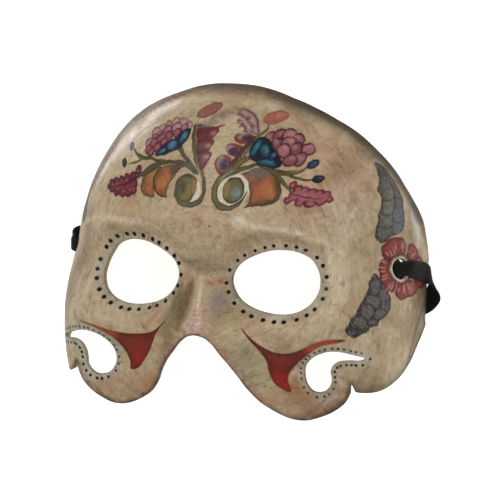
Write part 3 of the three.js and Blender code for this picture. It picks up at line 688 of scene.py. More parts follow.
def right_spray(c):
    """Spray on the right of the forehead, larger, with a salmon bud and a pink lobed leaf."""
    body = c.patch([(14.6, 49.2), (17.8, 50.9), (21, 52), (25.2, 52), (29.1, 50), (32.4, 46.7), (34, 42.6),
        (33.5, 38.4), (29.9, 37.3), (26.2, 36.6), (23.2, 36.7), (19.3, 35.6), (20.6, 37.8), (21, 41.4),
        (19.4, 45), (16.9, 47.6)])
    c.fill(body, (180, 114, 78), (82, 62, 38), 0.4, 0.85, 3.6)
    c.tint(body, (24.5, 41.5), (2.2, 5), 15, RUST, 0.5, 2.6)
    c.tint(body, (29.6, 43.4), (1.8, 4.6), 15, AMBER, 0.6, 2.2)
    c.tint(body, (23.6, 47.4), (3.4, 2.2), 20, (96, 70, 52), 0.7, 2)
    c.tint(body, (31.6, 45.6), (1.6, 4), 20, (92, 74, 44), 0.6, 2)
    c.tint(body, (26, 37.4), (6, 1.4), 4, (92, 70, 44), 0.6, 1.8)
    c.tint(body, (27.6, 39.6), (2.4, 1.4), -20, (124, 84, 58), 0.5, 1.8)
    c.tint(body, (23, 51), (8, 2.6), -6, (112, 98, 88), 0.9, 2.4)
    c.tint(body, (28.4, 46.4), (1.2, 3.4), -40, RUST, 0.5, 1.2)
    c.fill(c.stroke([(27.8, 50.9), (31.4, 47.8), (33.4, 43.9), (33.7, 39.5), (30.8, 37.4), (26.2, 36.8),
        (22.2, 36.6), (18.8, 35.7)], [0.6, 1.2, 1.6, 1.8, 1.5, 1.1, 0.9, 0.4]), (92, 80, 52), BROWN, 0.3,
        0.3)
    c.fill(c.oval((12.2, 42.9), (7.8, 7.2)), BONE)
    disc = c.oval((12.4, 43.2), (5.5, 5.5))
    c.fill(disc, (104, 98, 60), OLIVE_DARK, 0.6, 0.5, 2)
    c.tint(disc, (8.8, 43.6), (1.6, 3.6), 0, (146, 122, 66), 0.8, 1.8)
    c.tint(disc, (13.9, 42), (2.4, 3), 20, (112, 124, 118), 0.9, 1.8)
    for k in range(3):
        c.blur(c.stroke([(12.4, 43.6 - k), (14.2, 43.4 - k), (15.8, 43.8 - k)], [0.2, 0.4, 0.2]),
            (176, 188, 184), 0.7, 0.5)
    ring = [(22.4, 53.6), (15, 51.8), (9.6, 50), (5.4, 48.3), (3.1, 44.9), (2.8, 41.4), (5, 37.5),
        (10, 35.6), (14.6, 36.7), (17.6, 39.2), (19.1, 42.6)]
    c.fill(c.stroke(ring, [1, 1.5, 1.9, 2.4, 2.9, 3.1, 3, 2.8, 2.2, 1.4, 0.4]), (110, 102, 66), OLIVE_DARK,
        0.4, 0.5, 1.4)
    c.fill(c.stroke([(13, 51.8), (8.6, 50.4), (5.6, 47.6), (4.6, 44)], [0.2, 0.5, 0.6, 0.2]),
        (160, 152, 112), strength=0.7)
    c.fill(c.stroke([(21.9, 68.4), (22.1, 66.6), (20.8, 65.1), (18.9, 63.6), (16.9, 60.4), (14.4, 56.9),
        (8.6, 50.6)], [0.6, 1.1, 1.2, 1.2, 0.8, 0.6, 0.4]), (132, 124, 80), OLIVE_DARK, 0.3, 0.3)
    bud = c.oval((24, 70.7), (5.3, 2.6), 8)
    c.fill(bud, SALMON, (142, 80, 66), 0.35, 0.4, 1.4)
    c.tint(bud, (25.5, 71.6), (2.6, 0.8), 8, (190, 124, 104), 0.6, 1)
    c.fill(c.stroke([(42.9, 51.3), (41.2, 49.9), (37.1, 49.3), (31.7, 49.9), (26.8, 51.4), (22.6, 52.9)],
        [0.9, 1.7, 1.8, 1.7, 1.5, 0.9]), (116, 108, 50), OLIVE_DARK, 0.3, 0.4)
    c.fill(c.stroke([(42.6, 51), (40.6, 50.3), (36.4, 50)], [0.3, 0.7, 0.2]), MOSS)
    c.fill(c.stroke([(46.7, 45.8), (42.1, 46.3), (38.4, 47.6), (35.5, 48.8), (31.8, 49.6)],
        [0.6, 0.8, 1, 1.4, 1.4]), (98, 90, 44), OLIVE_DARK, 0.25, 0.3)
    c.fill(c.stroke([(39, 41.4), (35.7, 44.6), (32.7, 47.7), (30.5, 49.5), (27.3, 51.4)],
        [0.7, 1.2, 1.4, 1.4, 1.2]), (108, 102, 62), OLIVE_DARK, 0.25, 0.3)
    for centre, radii, turn, colour in (
        ((44.7, 52.2), (2.4, 1.7), 20, (54, 66, 102)),
        ((48.2, 46.1), (2.4, 1.6), 0, (34, 40, 50)),
    ):
        shape = c.oval(centre, radii, turn)
        c.fill(shape, colour, INK, 0.4, 0.5, 1.2)
        c.tint(shape, (centre[0] + 0.5, centre[1] + 0.5), (0.9, 0.35), turn, SLATE_BLUE, 0.6, 0.6)
    c.scales([(24.3, 63.2), (28.6, 63.4), (32.5, 63.2), (36.3, 61.9), (27.8, 61), (32.2, 60.8),
        (40.9, 57.8), (36.6, 58.4), (39.4, 54.6), (31.7, 57.8), (35, 53.9)], (3, 2.6), [(154, 96, 100),
        (132, 76, 84), (150, 102, 102)], (58, 18, 28), -20, 0.42, PINK_LIGHT)
    cup = c.patch([(17.5, 55.7), (16.7, 59.4), (18, 62.3), (20.9, 63.6), (23.8, 62.7), (25.8, 60.5),
        (27.8, 58.4), (29.3, 56.3), (31.6, 54.6), (32.2, 52.1), (29.5, 51.4), (25.5, 52.5), (21.8, 53.9),
        (19, 54.8)])
    c.fill(cup, NAVY, INK, 0.4, 0.3)
    for centre, radii, turn, colour in (
        ((19.2, 59.6), (1.9, 3.5), -22, (40, 92, 108)),
        ((23.6, 58.4), (3.4, 2.3), -50, (38, 76, 98)),
        ((27.4, 56.2), (1.8, 2.2), -30, (30, 54, 80)),
        ((25.8, 53.7), (5, 1.5), -12, (34, 78, 104)),
    ):
        shape = c.oval(centre, radii, turn)
        c.fill(shape, colour, (10, 16, 26), 0.4, 0.6, 1.4)
        c.tint(shape, (centre[0] + 0.4, centre[1] + 0.5), (radii[0] * 0.5, radii[1] * 0.3), turn + 8,
            (80, 140, 148), 0.5, 0.7)
    leaf = [((39, 44.3), (1.6, 1.8), 0), ((41.2, 42.6), (1.9, 1.6), 0), ((43.9, 42), (1.9, 1.5), 0),
        ((47, 40.9), (1.8, 1.6), 0), ((50.1, 40.4), (1.9, 1.6), 0), ((52.7, 39.4), (1.8, 1.6), 0),
        ((54, 37.6), (1.6, 1.5), 0), ((38, 38.2), (1.7, 1.5), 0), ((40, 39.2), (2, 1.6), 0),
        ((43, 37), (2, 1.9), 0), ((47.2, 36.2), (2.3, 1.9), 0), ((51.2, 36.8), (2, 1.8), 0),
        ((45, 39.6), (7, 3), -10), ((50, 38.5), (4.2, 2.5), -6)]
    shape = c.lobes(leaf)
    c.fill(shape, (164, 98, 102), (96, 34, 46), 0.55, 0.5, 1.8)
    for path in ([(39.2, 40.6), (43.6, 39.4), (47.9, 38.2), (52.2, 38.1)], [(42.5, 44), (42.9, 42.2)],
            [(45.6, 42.2), (45.2, 40.8)], [(48.6, 41.8), (48.2, 40.2)], [(51.5, 41), (51, 39.6)],
            [(41.4, 37.6), (42, 38.6)], [(45.1, 35.8), (45, 37.4)], [(49.4, 35.8), (49.2, 37.2)]):
        c.fill(c.stroke(path, [0.4, 0.6, 0.3]), PLUM)


def temple(c, side):
    """Grey leaves above and below a five-petalled flower round the hole of the band."""

    def at(points):
        return [(side * a, b) for a, b in points]

    upper = c.patch(at([(68.6, 53.4), (70.6, 48.3), (71.5, 44), (71, 41.5), (72.5, 39.2), (73.5, 36.2),
        (73.4, 32.5), (72.9, 29.6), (73.1, 26.6), (72.5, 23.7), (73, 19.8), (74.9, 17.6), (77.1, 18.6),
        (79.2, 20.4), (81.4, 21.3), (84, 23.4), (84.8, 28), (83.8, 34.2), (83.1, 38.9), (80.4, 43.2),
        (77.4, 47.5), (74.4, 50.6), (70.9, 53.4)]))
    lower = c.patch(at([(72.4, 4.4), (70.1, 1.3), (68.6, -2.5), (65.5, -6.6), (63.6, -9.6), (61.2, -12.5),
        (58.9, -15.4), (58.1, -17.8), (59.6, -19.5), (62.2, -18.5), (64.6, -17.6), (65.8, -16),
        (68.2, -15.8), (69.7, -14), (72.1, -12.9), (74.3, -11.2), (75.7, -8.2), (75.9, -4.3), (74.6, -0.8),
        (73.6, 2.8)]))
    for shape in (upper, lower) if side > 0 else (upper,):
        c.fill(shape, SLATE, SLATE_DARK, 0.5, 0.6, 2.2)
        where, gap = shape
        c.hatch[where] = np.maximum(c.hatch[where], smooth(0.3, -0.6, gap))
    if side > 0:
        for centre, radii, turn in (
            ((73.2, -9), (3.2, 3.6), -20),
            ((70.4, -12), (3.2, 3), -20),
            ((66, -14.6), (3.2, 2.4), -10),
            ((73.6, -3.6), (2.8, 4), 0),
            ((69.4, -7), (3, 3.6), -30),
            ((66.4, -10.6), (2.6, 3.4), -35),
            ((71.6, -1), (2.2, 4), -20),
            ((63, -14.2), (2.6, 2.8), -30),
        ):
            c.fill(c.within(c.oval(centre, radii, turn), lower), SLATE, SLATE_DARK, 0.4, 0.6, 1.8)
        c.tint(lower, (60, -17.4), (3.4, 2.6), -30, (40, 44, 42), 0.9, 2.4)
    c.tint(upper, (side * 72, 49), (3, 5), side * -20, SLATE_DARK, 0.7, 3)
    c.tint(upper, (side * 81.5, 28), (3, 7), 0, SLATE_BLUE, 0.7, 2.4)
    c.tint(upper, (side * 77.5, 33), (2.6, 8), 0, (118, 122, 96), 0.6, 2.4)
    spines = (
        ([(71.1, 50.4), (75, 47), (78.3, 42.2), (79.3, 35.8), (79.1, 29.6), (79, 21.6)],
         [0.4, 0.8, 1, 1, 0.8, 0.5]),
        ([(72.1, 42.8), (73.8, 41.4), (75.6, 42), (77.6, 42.6)], [0.4, 0.7, 0.7, 0.4]),
        ([(73.6, 37.4), (75.2, 36.4), (77.2, 36.8), (79.1, 38)], [0.4, 0.8, 0.8, 0.5]),
        ([(73.8, 30.9), (75.6, 30), (77.6, 30.2), (79.2, 31.2)], [0.4, 0.8, 0.8, 0.5]),
        ([(73.4, 25.7), (75.4, 24.4), (77.4, 24.4), (79, 25.4)], [0.4, 0.8, 0.8, 0.5]),
        ([(79.2, 38.6), (81.2, 38.2), (83, 39.4)], [0.5, 0.6, 0.3]),
        ([(79.4, 33), (81.6, 33), (83.8, 34.4)], [0.5, 0.7, 0.3]),
        ([(79.3, 27.2), (81.8, 26.6), (84.6, 27.8)], [0.5, 0.7, 0.3]),
    )
    for path, widths in spines:
        where, gap = c.stroke(at(path), widths)
        c.lay(where, gap, SLATE_DARK, 0.75, 0.7)
    for outline in (
        [(93.4, 10.2), (96.4, 7), (98.2, 2), (97.8, -4.6), (94.6, -6.6), (91, -3.4), (89, 1.5), (90, 8)],
        [(85.8, 12), (86.4, 15), (88.2, 17), (91, 15.2), (92.8, 10.6), (90.6, 7.6), (86.8, 8.6)],
        [(79, -2.2), (81, -0.2), (87.4, -0.4), (91.4, -2.4), (92.2, -5), (89.6, -7.8), (84.9, -7.8),
         (80.3, -7.8), (78.4, -5.6)],
        [(74.8, 8.6), (76, 10.6), (78.8, 10.2), (80, 5.2), (79.9, -0.8), (78.2, -3.9), (75.2, -2.9),
         (74, 2.7)],
        [(75.3, 14.9), (76.5, 17.7), (79.6, 19.8), (84, 19.4), (85.6, 16.4), (84.6, 11.5), (80.6, 9.5),
         (76.7, 11)],
    ):
        if side < 0:
            outline = [
                (HOLE_ACROSS + (a - HOLE_ACROSS) * 0.42, HOLE_UP + (b - HOLE_UP) * 0.8) for a, b in outline
            ]
        c.fill(c.patch(at(outline)), DUSTY, DUSTY_DARK, 0.5, 0.6, 2.4)
    hub = (side * HOLE_ACROSS, HOLE_UP)
    for k in range(46 if side > 0 else 0):
        w = 2 * math.pi * (k + 0.3 * math.sin(5 * k)) / 46
        first, last = 1.12 + 0.14 * math.sin(3 * k), 1.62 + 0.22 * math.sin(7 * k)
        wide, high = HOLE_HALF_ACROSS + 2.4, HOLE_HALF_UP + 2.4
        ends = [(hub[0] + r * wide * math.cos(w), hub[1] + r * high * math.sin(w)) for r in (first, last)]
        light = DUSTY_LIGHT if k % 3 else DUSTY_DARK
        where, gap = c.stroke(ends, [0.2, 0.45, 0.2])
        c.lay(where, gap, light, 0.7, 0.4)
    c.fill(c.oval(hub, (HOLE_HALF_ACROSS + 2.2, HOLE_HALF_UP + 2.1)), (96, 36, 34))
    c.fill(c.oval(hub, (HOLE_HALF_ACROSS + 1.4, HOLE_HALF_UP + 1.4)), BONE, (128, 100, 70), 0.3, 0.4, 1.2)


def cheeks(c):
    """Red hollows on both cheeks, darker along their outlines and brighter low in the middle."""
    right = [(22.2, -21.6), (27.5, -25.7), (31.4, -28.1), (35, -29.4), (38.8, -28.9), (43.3, -26.5),
        (48.2, -22.9), (52.5, -20.8), (57.2, -20.3), (56.9, -20.8), (54, -21.9), (50.2, -23.4),
        (44.9, -28.3), (40.7, -32.7), (37.3, -36.8), (36.2, -39.4), (36.6, -42.6), (36, -42.9),
        (33.8, -42.7), (31.4, -41.4), (30.6, -37.7), (30.9, -33.8), (29, -29.5), (26, -26)]
    left = [(55.4, -21), (50, -22.3), (43.9, -24.4), (38, -26), (33.4, -26.5), (28, -26.5), (24.2, -25.8),
        (21, -23.7), (18.5, -20.9), (18.6, -21.5), (20.6, -24.6), (22.5, -27.6), (23.6, -30.5),
        (24.9, -33.7), (27.6, -37.2), (30.2, -39.9), (32.9, -40.8), (34.6, -40.3), (35.2, -38),
        (36.3, -35.5), (39.1, -31.2), (42.3, -27.6), (46, -25), (50.5, -22.8)]
    for side, outline, bright, arm in (
        (1, right, (33.8, -40), (50, -23)),
        (-1, left, (31, -36), (46, -24.4)),
    ):
        shape = c.patch([(side * a, b) for a, b in outline])
        c.fill(shape, BLOOD, BLOOD_DARK, 0.35, 0.5, 2.4)
        c.tint(shape, (side * arm[0], arm[1]), (6, 3), side * 30, (172, 80, 60), 0.75, 3)
        c.tint(shape, (side * bright[0], bright[1]), (2.8, 3), 0, BLOOD_BRIGHT, 0.8, 2.6)
        c.tint(shape, (side * (bright[0] - 4.5), bright[1] + 9), (3, 2.6), 0, BLOOD_DARK, 0.45, 3)


def border(c, loop, reach, colour, strength):
    """Greyish border outside a hole."""
    gap, _ = distance_to(loop, c.points)
    close = np.flatnonzero(gap < reach + 2)
    c.blur((close, gap[close] - reach), colour, strength, 1.8)


def dot_places(loop, spacing, radius, offset, lower, outer):
    """Dots beside a hole, a spacing apart on the face: centre, radius on the face, and the face's metric
    there. The offset grows towards the hole's lower and outer side by the shares given, and the size with
    it towards the lower side."""
    on_face = skin(loop[:, 0], loop[:, 1])
    run = run_along(np.vstack([on_face, on_face[:1]]))
    count = int(round(run[-1] / spacing))
    k = np.arange(count)
    at = run[-1] * (k + 0.10 * np.sin(4.1 * k)) / count % run[-1]
    closed = np.vstack([loop, loop[:1]])
    edge = np.stack([np.interp(at, run, closed[:, 0]), np.interp(at, run, closed[:, 1])], 1)
    out = inward(loop, 2)[np.searchsorted(run, at) % len(loop)]

    def slope(points, direction):
        a, b = points + 0.2 * direction, points - 0.2 * direction
        return (skin(a[:, 0], a[:, 1]) - skin(b[:, 0], b[:, 1])) / 0.4

    grow = 1 - lower * out[:, 1] + outer * out[:, 0] * np.sign(loop[:, 0].mean())
    centres = edge + out * (offset * grow / np.linalg.norm(slope(edge, out), axis=1))[:, None]
    size = radius * (0.96 + 0.08 * np.sin(12.9 * k)) * (1 - 0.5 * lower * out[:, 1])
    across, up = slope(centres, np.array([[1.0, 0.0]])), slope(centres, np.array([[0.0, 1.0]]))
    metric = [np.sum(across * across, 1), np.sum(across * up, 1), np.sum(up * up, 1)]
    return np.stack([centres[:, 0], centres[:, 1], size, *metric], 1)


DOT_ROWS = (
    # hole, spacing, radius, offset, share more of it below, share more of it on the outer side
    ("right eye", 4.4, 1.04, 2.6, 0.2, 0.1),
    ("left eye", 4.5, 1.14, 2.3, 0, 0.45),
    ("right comma", 2.6, 0.68, 1.9, 0.1, 0),
    ("left comma", 2.9, 0.78, 2.1, 0.1, 0.1),
)


def all_dots(loops):
    """Dots round both eye holes and both commas."""
    return np.vstack([dot_places(loops[hole], *measures) for hole, *measures in DOT_ROWS])


def dot_gap(points, dot):
    """Distance on the face from points of the chart to the edge of a dot."""
    s, t = points[:, 0] - dot[0], points[:, 1] - dot[1]
    square = dot[3] * s * s + 2 * dot[4] * s * t + dot[5] * t * t
    return np.sqrt(np.maximum(square, 0)) - dot[2]


def dot_rings(dots):
    """Points in and around every dot, for a crisp round edge."""
    circle = oval(0, 0, 1, 1, DOT_RING_POINTS)
    shares = np.vstack([[[0.0, 0.0]], *(share * circle for share in DOT_RING_SHARES)])
    metric = dots[:, [3, 4, 4, 5]].reshape(-1, 2, 2)
    values, vectors = np.linalg.eigh(metric)
    back = np.einsum("nij,nj,nkj->nik", vectors, values**-0.5, vectors)
    return (dots[:, None, :2] + dots[:, None, 2:3] * np.einsum("nij,kj->nki", back, shares)).reshape(-1, 2)


def off_dots(points, dots):
    """Which points are clear of the dots and of the points round them."""
    clear = np.ones(len(points), bool)
    for dot in dots:
        clear &= dot_gap(points, dot) > DOT_CLEAR * dot[2]
    return clear


# Stains of the ground, with painted light among them: a painted highlight on the upper left of the forehead,
# and brown stains on the nose's left flank deepened into painted shade.
STAINS_AND_PAINTED_LIGHT = (
    # centre, radii, turn, colour, strength
    ((52, 45), (16, 16), 20, (196, 148, 122), 0.45),
    ((30, 60), (12, 12), 20, (182, 146, 116), 0.35),
    ((-30, 30), (30, 6), 0, (186, 156, 120), 0.4),
    ((8, 28), (26, 6), 0, (190, 158, 124), 0.4),
    ((0, 84), (30, 6), 0, (160, 138, 112), 0.5),
    # painted highlight: gloss on the upper left of the forehead
    ((-46, 62), (14, 7), 42, (222, 208, 188), 0.6),
    # brown stains on the left flank of the nose, deepened into painted shade
    ((-8, -12), (3.4, 12), -12, (112, 90, 56), 0.9),
    ((-14, -17), (4.4, 12), -30, (126, 104, 68), 0.8),
    ((62, 58), (7, 16), -35, (142, 116, 84), 0.55),
    # darker down the far right side
    ((90, 2), (4.5, 40), 0, (136, 116, 86), 0.6),
    ((-13, -24), (4, 9), -30, (126, 104, 70), 0.5),
    ((-16, -36), (4, 9), -15, (130, 104, 66), 0.6),
    ((-18.5, -43.5), (1, 1), 0, (76, 60, 36), 0.6),
    ((9.9, -12), (4, 7), 10, (146, 136, 132), 0.75),
    ((7, -22), (6, 8), 10, (176, 138, 126), 0.45),
    ((0, 7), (12, 3), 0, (142, 130, 102), 0.6),
    ((-12, 1), (4, 4), 0, (194, 146, 128), 0.5),
    ((6, -1.2), (5, 2), 0, (196, 132, 110), 0.45),
    ((-25, -21), (6, 3), 20, (190, 142, 108), 0.45),
    ((-17, -20), (4, 4), 20, (136, 128, 104), 0.55),
    ((36, -24.6), (8, 2), -14, (158, 118, 92), 0.3),
    ((38, -18.4), (7, 2.4), -10, (216, 194, 166), 0.6),
    ((63, 10), (6, 12), 0, (222, 206, 180), 0.65),
    ((68, -21), (7, 6), 10, (212, 194, 166), 0.6),
    # more painted shade and brown stain on the left flank of the nose
    ((-15.7, -9.7), (3, 7), -10, (104, 84, 56), 0.6),
    ((-5.6, -24.6), (2.4, 3), -10, (208, 180, 166), 0.6),
    ((13.5, -33.8), (3, 4), -30, (160, 130, 116), 0.6),
    ((39, -44.2), (6, 3), -10, (152, 118, 84), 0.5),
    ((61.5, -34.3), (5, 4), -10, (158, 136, 104), 0.55),
    ((84, -23), (6, 6), -10, (138, 118, 88), 0.6),
    ((56, 46), (6, 7), -10, (160, 126, 98), 0.5),
    # darker down the far left side
    ((-68, 0), (5, 26), 0, (120, 100, 72), 0.55),
    ((0, 11), (8, 6), 0, (150, 130, 100), 0.5),
    # darker down the far right side
    ((94, -8), (6, 16), 0, (120, 100, 74), 0.6),
    ((26, -20), (7, 3), -30, (190, 150, 120), 0.5),
    ((14, -20), (6, 8), -30, (172, 158, 112), 0.5),
    ((22, -35), (6, 9), -30, (146, 136, 106), 0.6),
    ((27, -41), (2.4, 7), 20, (176, 166, 128), 0.55),
    ((39.5, -41), (4.4, 3), 10, (160, 110, 58), 0.7),
    ((39.5, -33), (2.2, 5), 30, (190, 146, 116), 0.6),
    ((-46, -44), (9, 4), 10, (166, 130, 94), 0.55),
    ((-28, -46), (10, 4), 0, (166, 128, 94), 0.55),
    ((-22, -47), (4, 4), 0, (178, 122, 96), 0.6),
    ((34, -47), (10, 3.4), 0, (166, 126, 100), 0.55),
    ((46, -45), (6, 3.4), 30, (150, 112, 94), 0.6),
    ((54, -42), (8, 3.6), 40, (172, 128, 104), 0.45),
    ((66, 10), (5, 26), 0, (170, 154, 108), 0.45),
    ((60, 33), (6, 12), 20, (214, 194, 172), 0.5),
    ((78, -22), (9, 12), 0, (170, 152, 112), 0.45),
    ((88, -24), (6, 9), 0, (146, 124, 88), 0.5),
    ((-50, 8), (6, 20), 10, (170, 148, 114), 0.45),
    ((-38, 18.5), (16, 3), 4, (160, 138, 102), 0.3),
    ((42, 20), (16, 3), -8, (196, 176, 140), 0.3),
    ((0, 16), (14, 4), 0, (176, 158, 126), 0.35),
    ((-60, 4), (6, 26), 0, (198, 178, 150), 0.45),
    ((-53.2, -36.7), (2.4, 1), 10, (128, 92, 48), 0.7),
)
# Streaks of the ground, with painted highlights on the brow ridges, the nose ridge and the right temple, and
# painted shade under the brows.
STREAKS_AND_PAINTED_LIGHT = (
    # path, widths, colour, strength, softness
    # painted highlight on the left brow ridge
    ([(-71, 19), (-61.6, 22.4), (-49.5, 24), (-41.4, 24.4), (-34, 25), (-27, 23)], [1, 2, 2.2, 2.2, 1.8, 1],
     (218, 198, 170), 0.8, 1.8),
    # painted shade under the left brow
    ([(-66, 10), (-62, 16), (-54, 19.4), (-42, 20.4), (-32, 20.6), (-24, 18)], [1, 2.4, 2.6, 2.8, 2.6, 1],
     (118, 94, 62), 0.2, 2.4),
    ([(-20, 12), (-14, 8.4), (-8, 8.6), (-3, 10)], [1, 3, 2.6, 1], (112, 96, 70), 0.6, 2.6),
    # painted shade under the right brow
    ([(18, 24), (28, 21.6), (40, 20.4), (50, 17), (58, 11)], [1, 2.4, 2.4, 2, 1], (146, 122, 88), 0.12,
     2.4),
    # painted highlights on the right brow ridge
    ([(17, 31), (26, 27), (38.5, 25.2), (46.7, 22.6), (55.6, 18.5), (62, 13.6)], [2.8, 2.2, 2.2, 2.2, 2, 1],
     (222, 204, 178), 0.85, 1.8),
    ([(15, 30), (18, 27.5), (21, 29.5)], [2, 3, 2], (214, 202, 186), 0.55, 2.5),
    # painted highlight along the nose ridge
    ([(-0.4, 3), (0.5, -10), (1.1, -24)], [0.6, 1.6, 2.6], (222, 202, 176), 0.9, 1.4),
    ([(46, -14), (52, -12), (58, -6), (61, 2)], [1, 4, 5, 3], (216, 198, 170), 0.55, 4),
    ([(28, -21.5), (34, -19.5), (41, -17.6)], [2, 4, 2], (206, 182, 152), 0.6, 3),
    # painted reflection: a pale glossy streak on the right temple
    ([(86, 40), (90, 30), (93, 20), (92, 14)], [1, 3, 4, 2], (208, 204, 196), 0.6, 2.5),
    ([(84, 44), (87, 36), (89, 26)], [0.5, 1.2, 0.5], (120, 108, 96), 0.55, 1.2),
    ([(7, -29), (14, -36), (20, -45), (27, -50)], [3.5, 4, 4, 3], (170, 104, 92), 0.6, 3.5),
    ([(19, -43), (22, -48), (26, -50.5)], [1.2, 1.6, 1], (112, 56, 50), 0.75, 1.6),
    ([(20.6, -38.6), (21, -40), (22, -41.6)], [0.6, 1.4, 0.6], (120, 76, 56), 0.6, 1),
    ([(-6, -29), (-13, -35), (-18, -41)], [3.5, 4, 3], (190, 136, 120), 0.6, 3.5),
    ([(0, -26), (0, -20), (4, -14)], [8, 5, 2], (198, 154, 144), 0.55, 4),
    ([(10.8, 84), (10, 80), (6.8, 74.8)], [1.4, 0.6, 0.3], (212, 186, 132), 0.8, 0.8),
    ([(5, 83), (8, 81), (11, 82)], [1, 1.2, 1], (160, 112, 62), 0.6, 1.2),
    ([(60, 67.4), (56, 66), (50, 66)], [1, 0.7, 0.3], (208, 190, 156), 0.7, 0.7),
    ([(28, -42), (31, -44.6), (27, -46)], [0.3, 0.8, 0.3], (190, 160, 112), 0.6, 0.8),
    ([(52.6, -34.3), (55.4, -33.4)], [0.4, 0.6], (110, 88, 62), 0.6, 0.6),
    ([(-9, -3), (-11, -9), (-14, -16)], [1, 2, 1], (108, 88, 54), 0.55, 1.8),
    ([(-72, 8), (-74, -4), (-72, -16)], [2, 3, 2], (150, 138, 122), 0.45, 3),
)
# Beside the rim: a band of painted shade and a painted highlight on the upper left, and dark bands of brown
# paint and painted shade along the top and right.
RIM_STREAKS_AND_PAINTED_LIGHT = (
    # path, widths, colour, strength, softness
    # painted shade: grey band on the steep upper left side
    ([(-76, 29), (-68.4, 43.9), (-63.2, 53.2), (-58.6, 60.6), (-51.6, 67), (-42.1, 72.5), (-31.8, 77),
     (-22, 80)], [3, 5, 5, 5, 4.4, 4, 3.4, 2], (128, 112, 100), 0.85, 1.2),
    ([(-70.6, 34), (-66.2, 41.6), (-60.9, 50.8), (-55.8, 58.4), (-48.4, 65.4), (-39.4, 71), (-31, 75.6),
     (-21.4, 78.6)], [0.6, 1, 1.2, 1, 1.2, 1, 1.4, 1.2], (76, 64, 54), 0.75, 0.9),
    # painted highlight on the upper left shoulder of the forehead
    ([(-66.3, 37.1), (-61.7, 44.4), (-54.3, 53.6), (-44.9, 62.1), (-35.4, 69.2), (-25.4, 74.7)],
     [1.6, 3, 4, 4, 3.2, 2], (244, 230, 220), 0.85, 2.2),
    # brown paint and painted shade along the top rim
    ([(-27.7, 79.9), (-19.4, 81.9), (-11.3, 83.1), (-3.2, 83.5)], [1, 2, 2, 1], (92, 76, 60), 0.7, 1.6),
    ([(-26, 77.6), (-18, 79.4), (-10, 80)], [0.6, 1.6, 1], (150, 124, 92), 0.5, 1.6),
    # brown paint and painted shade along the top and right rim
    ([(12, 82), (20.1, 80.8), (36.3, 76.2), (50, 72.1), (60.4, 66.4), (70.3, 60.6), (79.4, 52.3),
     (88.1, 41.4), (95, 28)], [1.6, 4, 5, 6.4, 7, 6.4, 6, 5.4, 3], (64, 48, 34), 0.8, 3),
    ([(28, 79.6), (38, 77.2), (52, 72.8), (61.4, 67.4), (71.3, 61.6), (80.4, 53.3), (89.1, 42.4)],
     [1.4, 2.4, 3, 2.2, 2.8, 2.2, 1.6], (34, 26, 20), 0.9, 1.4),
)


def ground_stains_and_painted_light(c):
    """Stains and streaks of the aged ground, with painted highlights on the brows, the nose ridge, the upper
    left forehead and the right temple, and painted shade under the brows and on the nose's left flank, all
    under the ornament.
    """
    for centre, radii, turn, colour, strength in STAINS_AND_PAINTED_LIGHT:
        c.blur(c.oval(centre, radii, turn), colour, strength, 1.1 * min(radii))
    for path, widths, colour, strength, soft in STREAKS_AND_PAINTED_LIGHT:
        c.blur(c.stroke(path, widths), colour, strength, soft)
    c.blur(c.oval((8.9, -0.5), (0.9, 0.6)), (160, 58, 48), 0.8, 0.5)


def along_rim(c, outer, first, last, offset, widths, colour, strength, soft):
    """A streak beside the rim, between two directions given in degrees."""
    angle = np.degrees(np.arctan2(outer[:, 1], outer[:, 0]))
    line = (outer + inward(outer) * offset)[(angle > first) & (angle < last)]
    c.blur(c.stroke(line[::6], widths), colour, strength, soft)


def rim_paint_and_shade(c, outer):
    """Brown paint and painted shade along the edge: strongest round the forehead and low on the right, faint
    elsewhere.
    """
    gap, _ = distance_to(outer[::2], c.points)
    x, y = c.points[:, 0], c.points[:, 1]
    angle = np.degrees(np.arctan2(y, x))
    high = smooth(10, 35, y)
    low_right = smooth(40, 75, x) * smooth(10, -10, y)
    reach = 1.6 + 5.0 * high * smooth(-40, 30, x) + 2.4 * high + 3.0 * low_right + 1.0 * np.sin(angle * 0.21)
    strength = (0.35 + 0.50 * high + 0.35 * low_right) * smooth(1.0, 0.0, gap / reach)
    strength = np.maximum(strength, 0.75 * smooth(1.4, 0.2, gap + 0.4 * np.sin(0.9 * x) * np.sin(0.8 * y)))
    # Painted shade mixed with brown paint: darker towards the rim, with a thin dark line at the very edge.
    c.colour += strength[:, None] * (pigment(58, 48, 38) - c.colour)
    for path, widths, colour, strength, soft in RIM_STREAKS_AND_PAINTED_LIGHT:
        c.blur(c.stroke(path, widths), colour, strength, soft)
    # More brown paint and painted shade just inside the rim.
    along_rim(c, outer, 40, 98, 1.6, [1, 2.0, 2.2, 1.4], (84, 66, 44), 0.45, 2.2)
    along_rim(c, outer, 12, 40, 3.2, [0.6, 2.0, 2.4, 1.2], (96, 84, 70), 0.55, 2.0)
    along_rim(c, outer, -22, 4, 3.0, [0.6, 2.0, 1.2], (118, 96, 64), 0.45, 2.4)
    along_rim(c, outer, -26, -6, 1.2, [0.6, 2.4, 1.4], (62, 54, 46), 0.70, 1.6)
    along_rim(c, outer, 8, 34, 1.4, [0.6, 2.2, 1.4], (70, 60, 50), 0.70, 1.6)


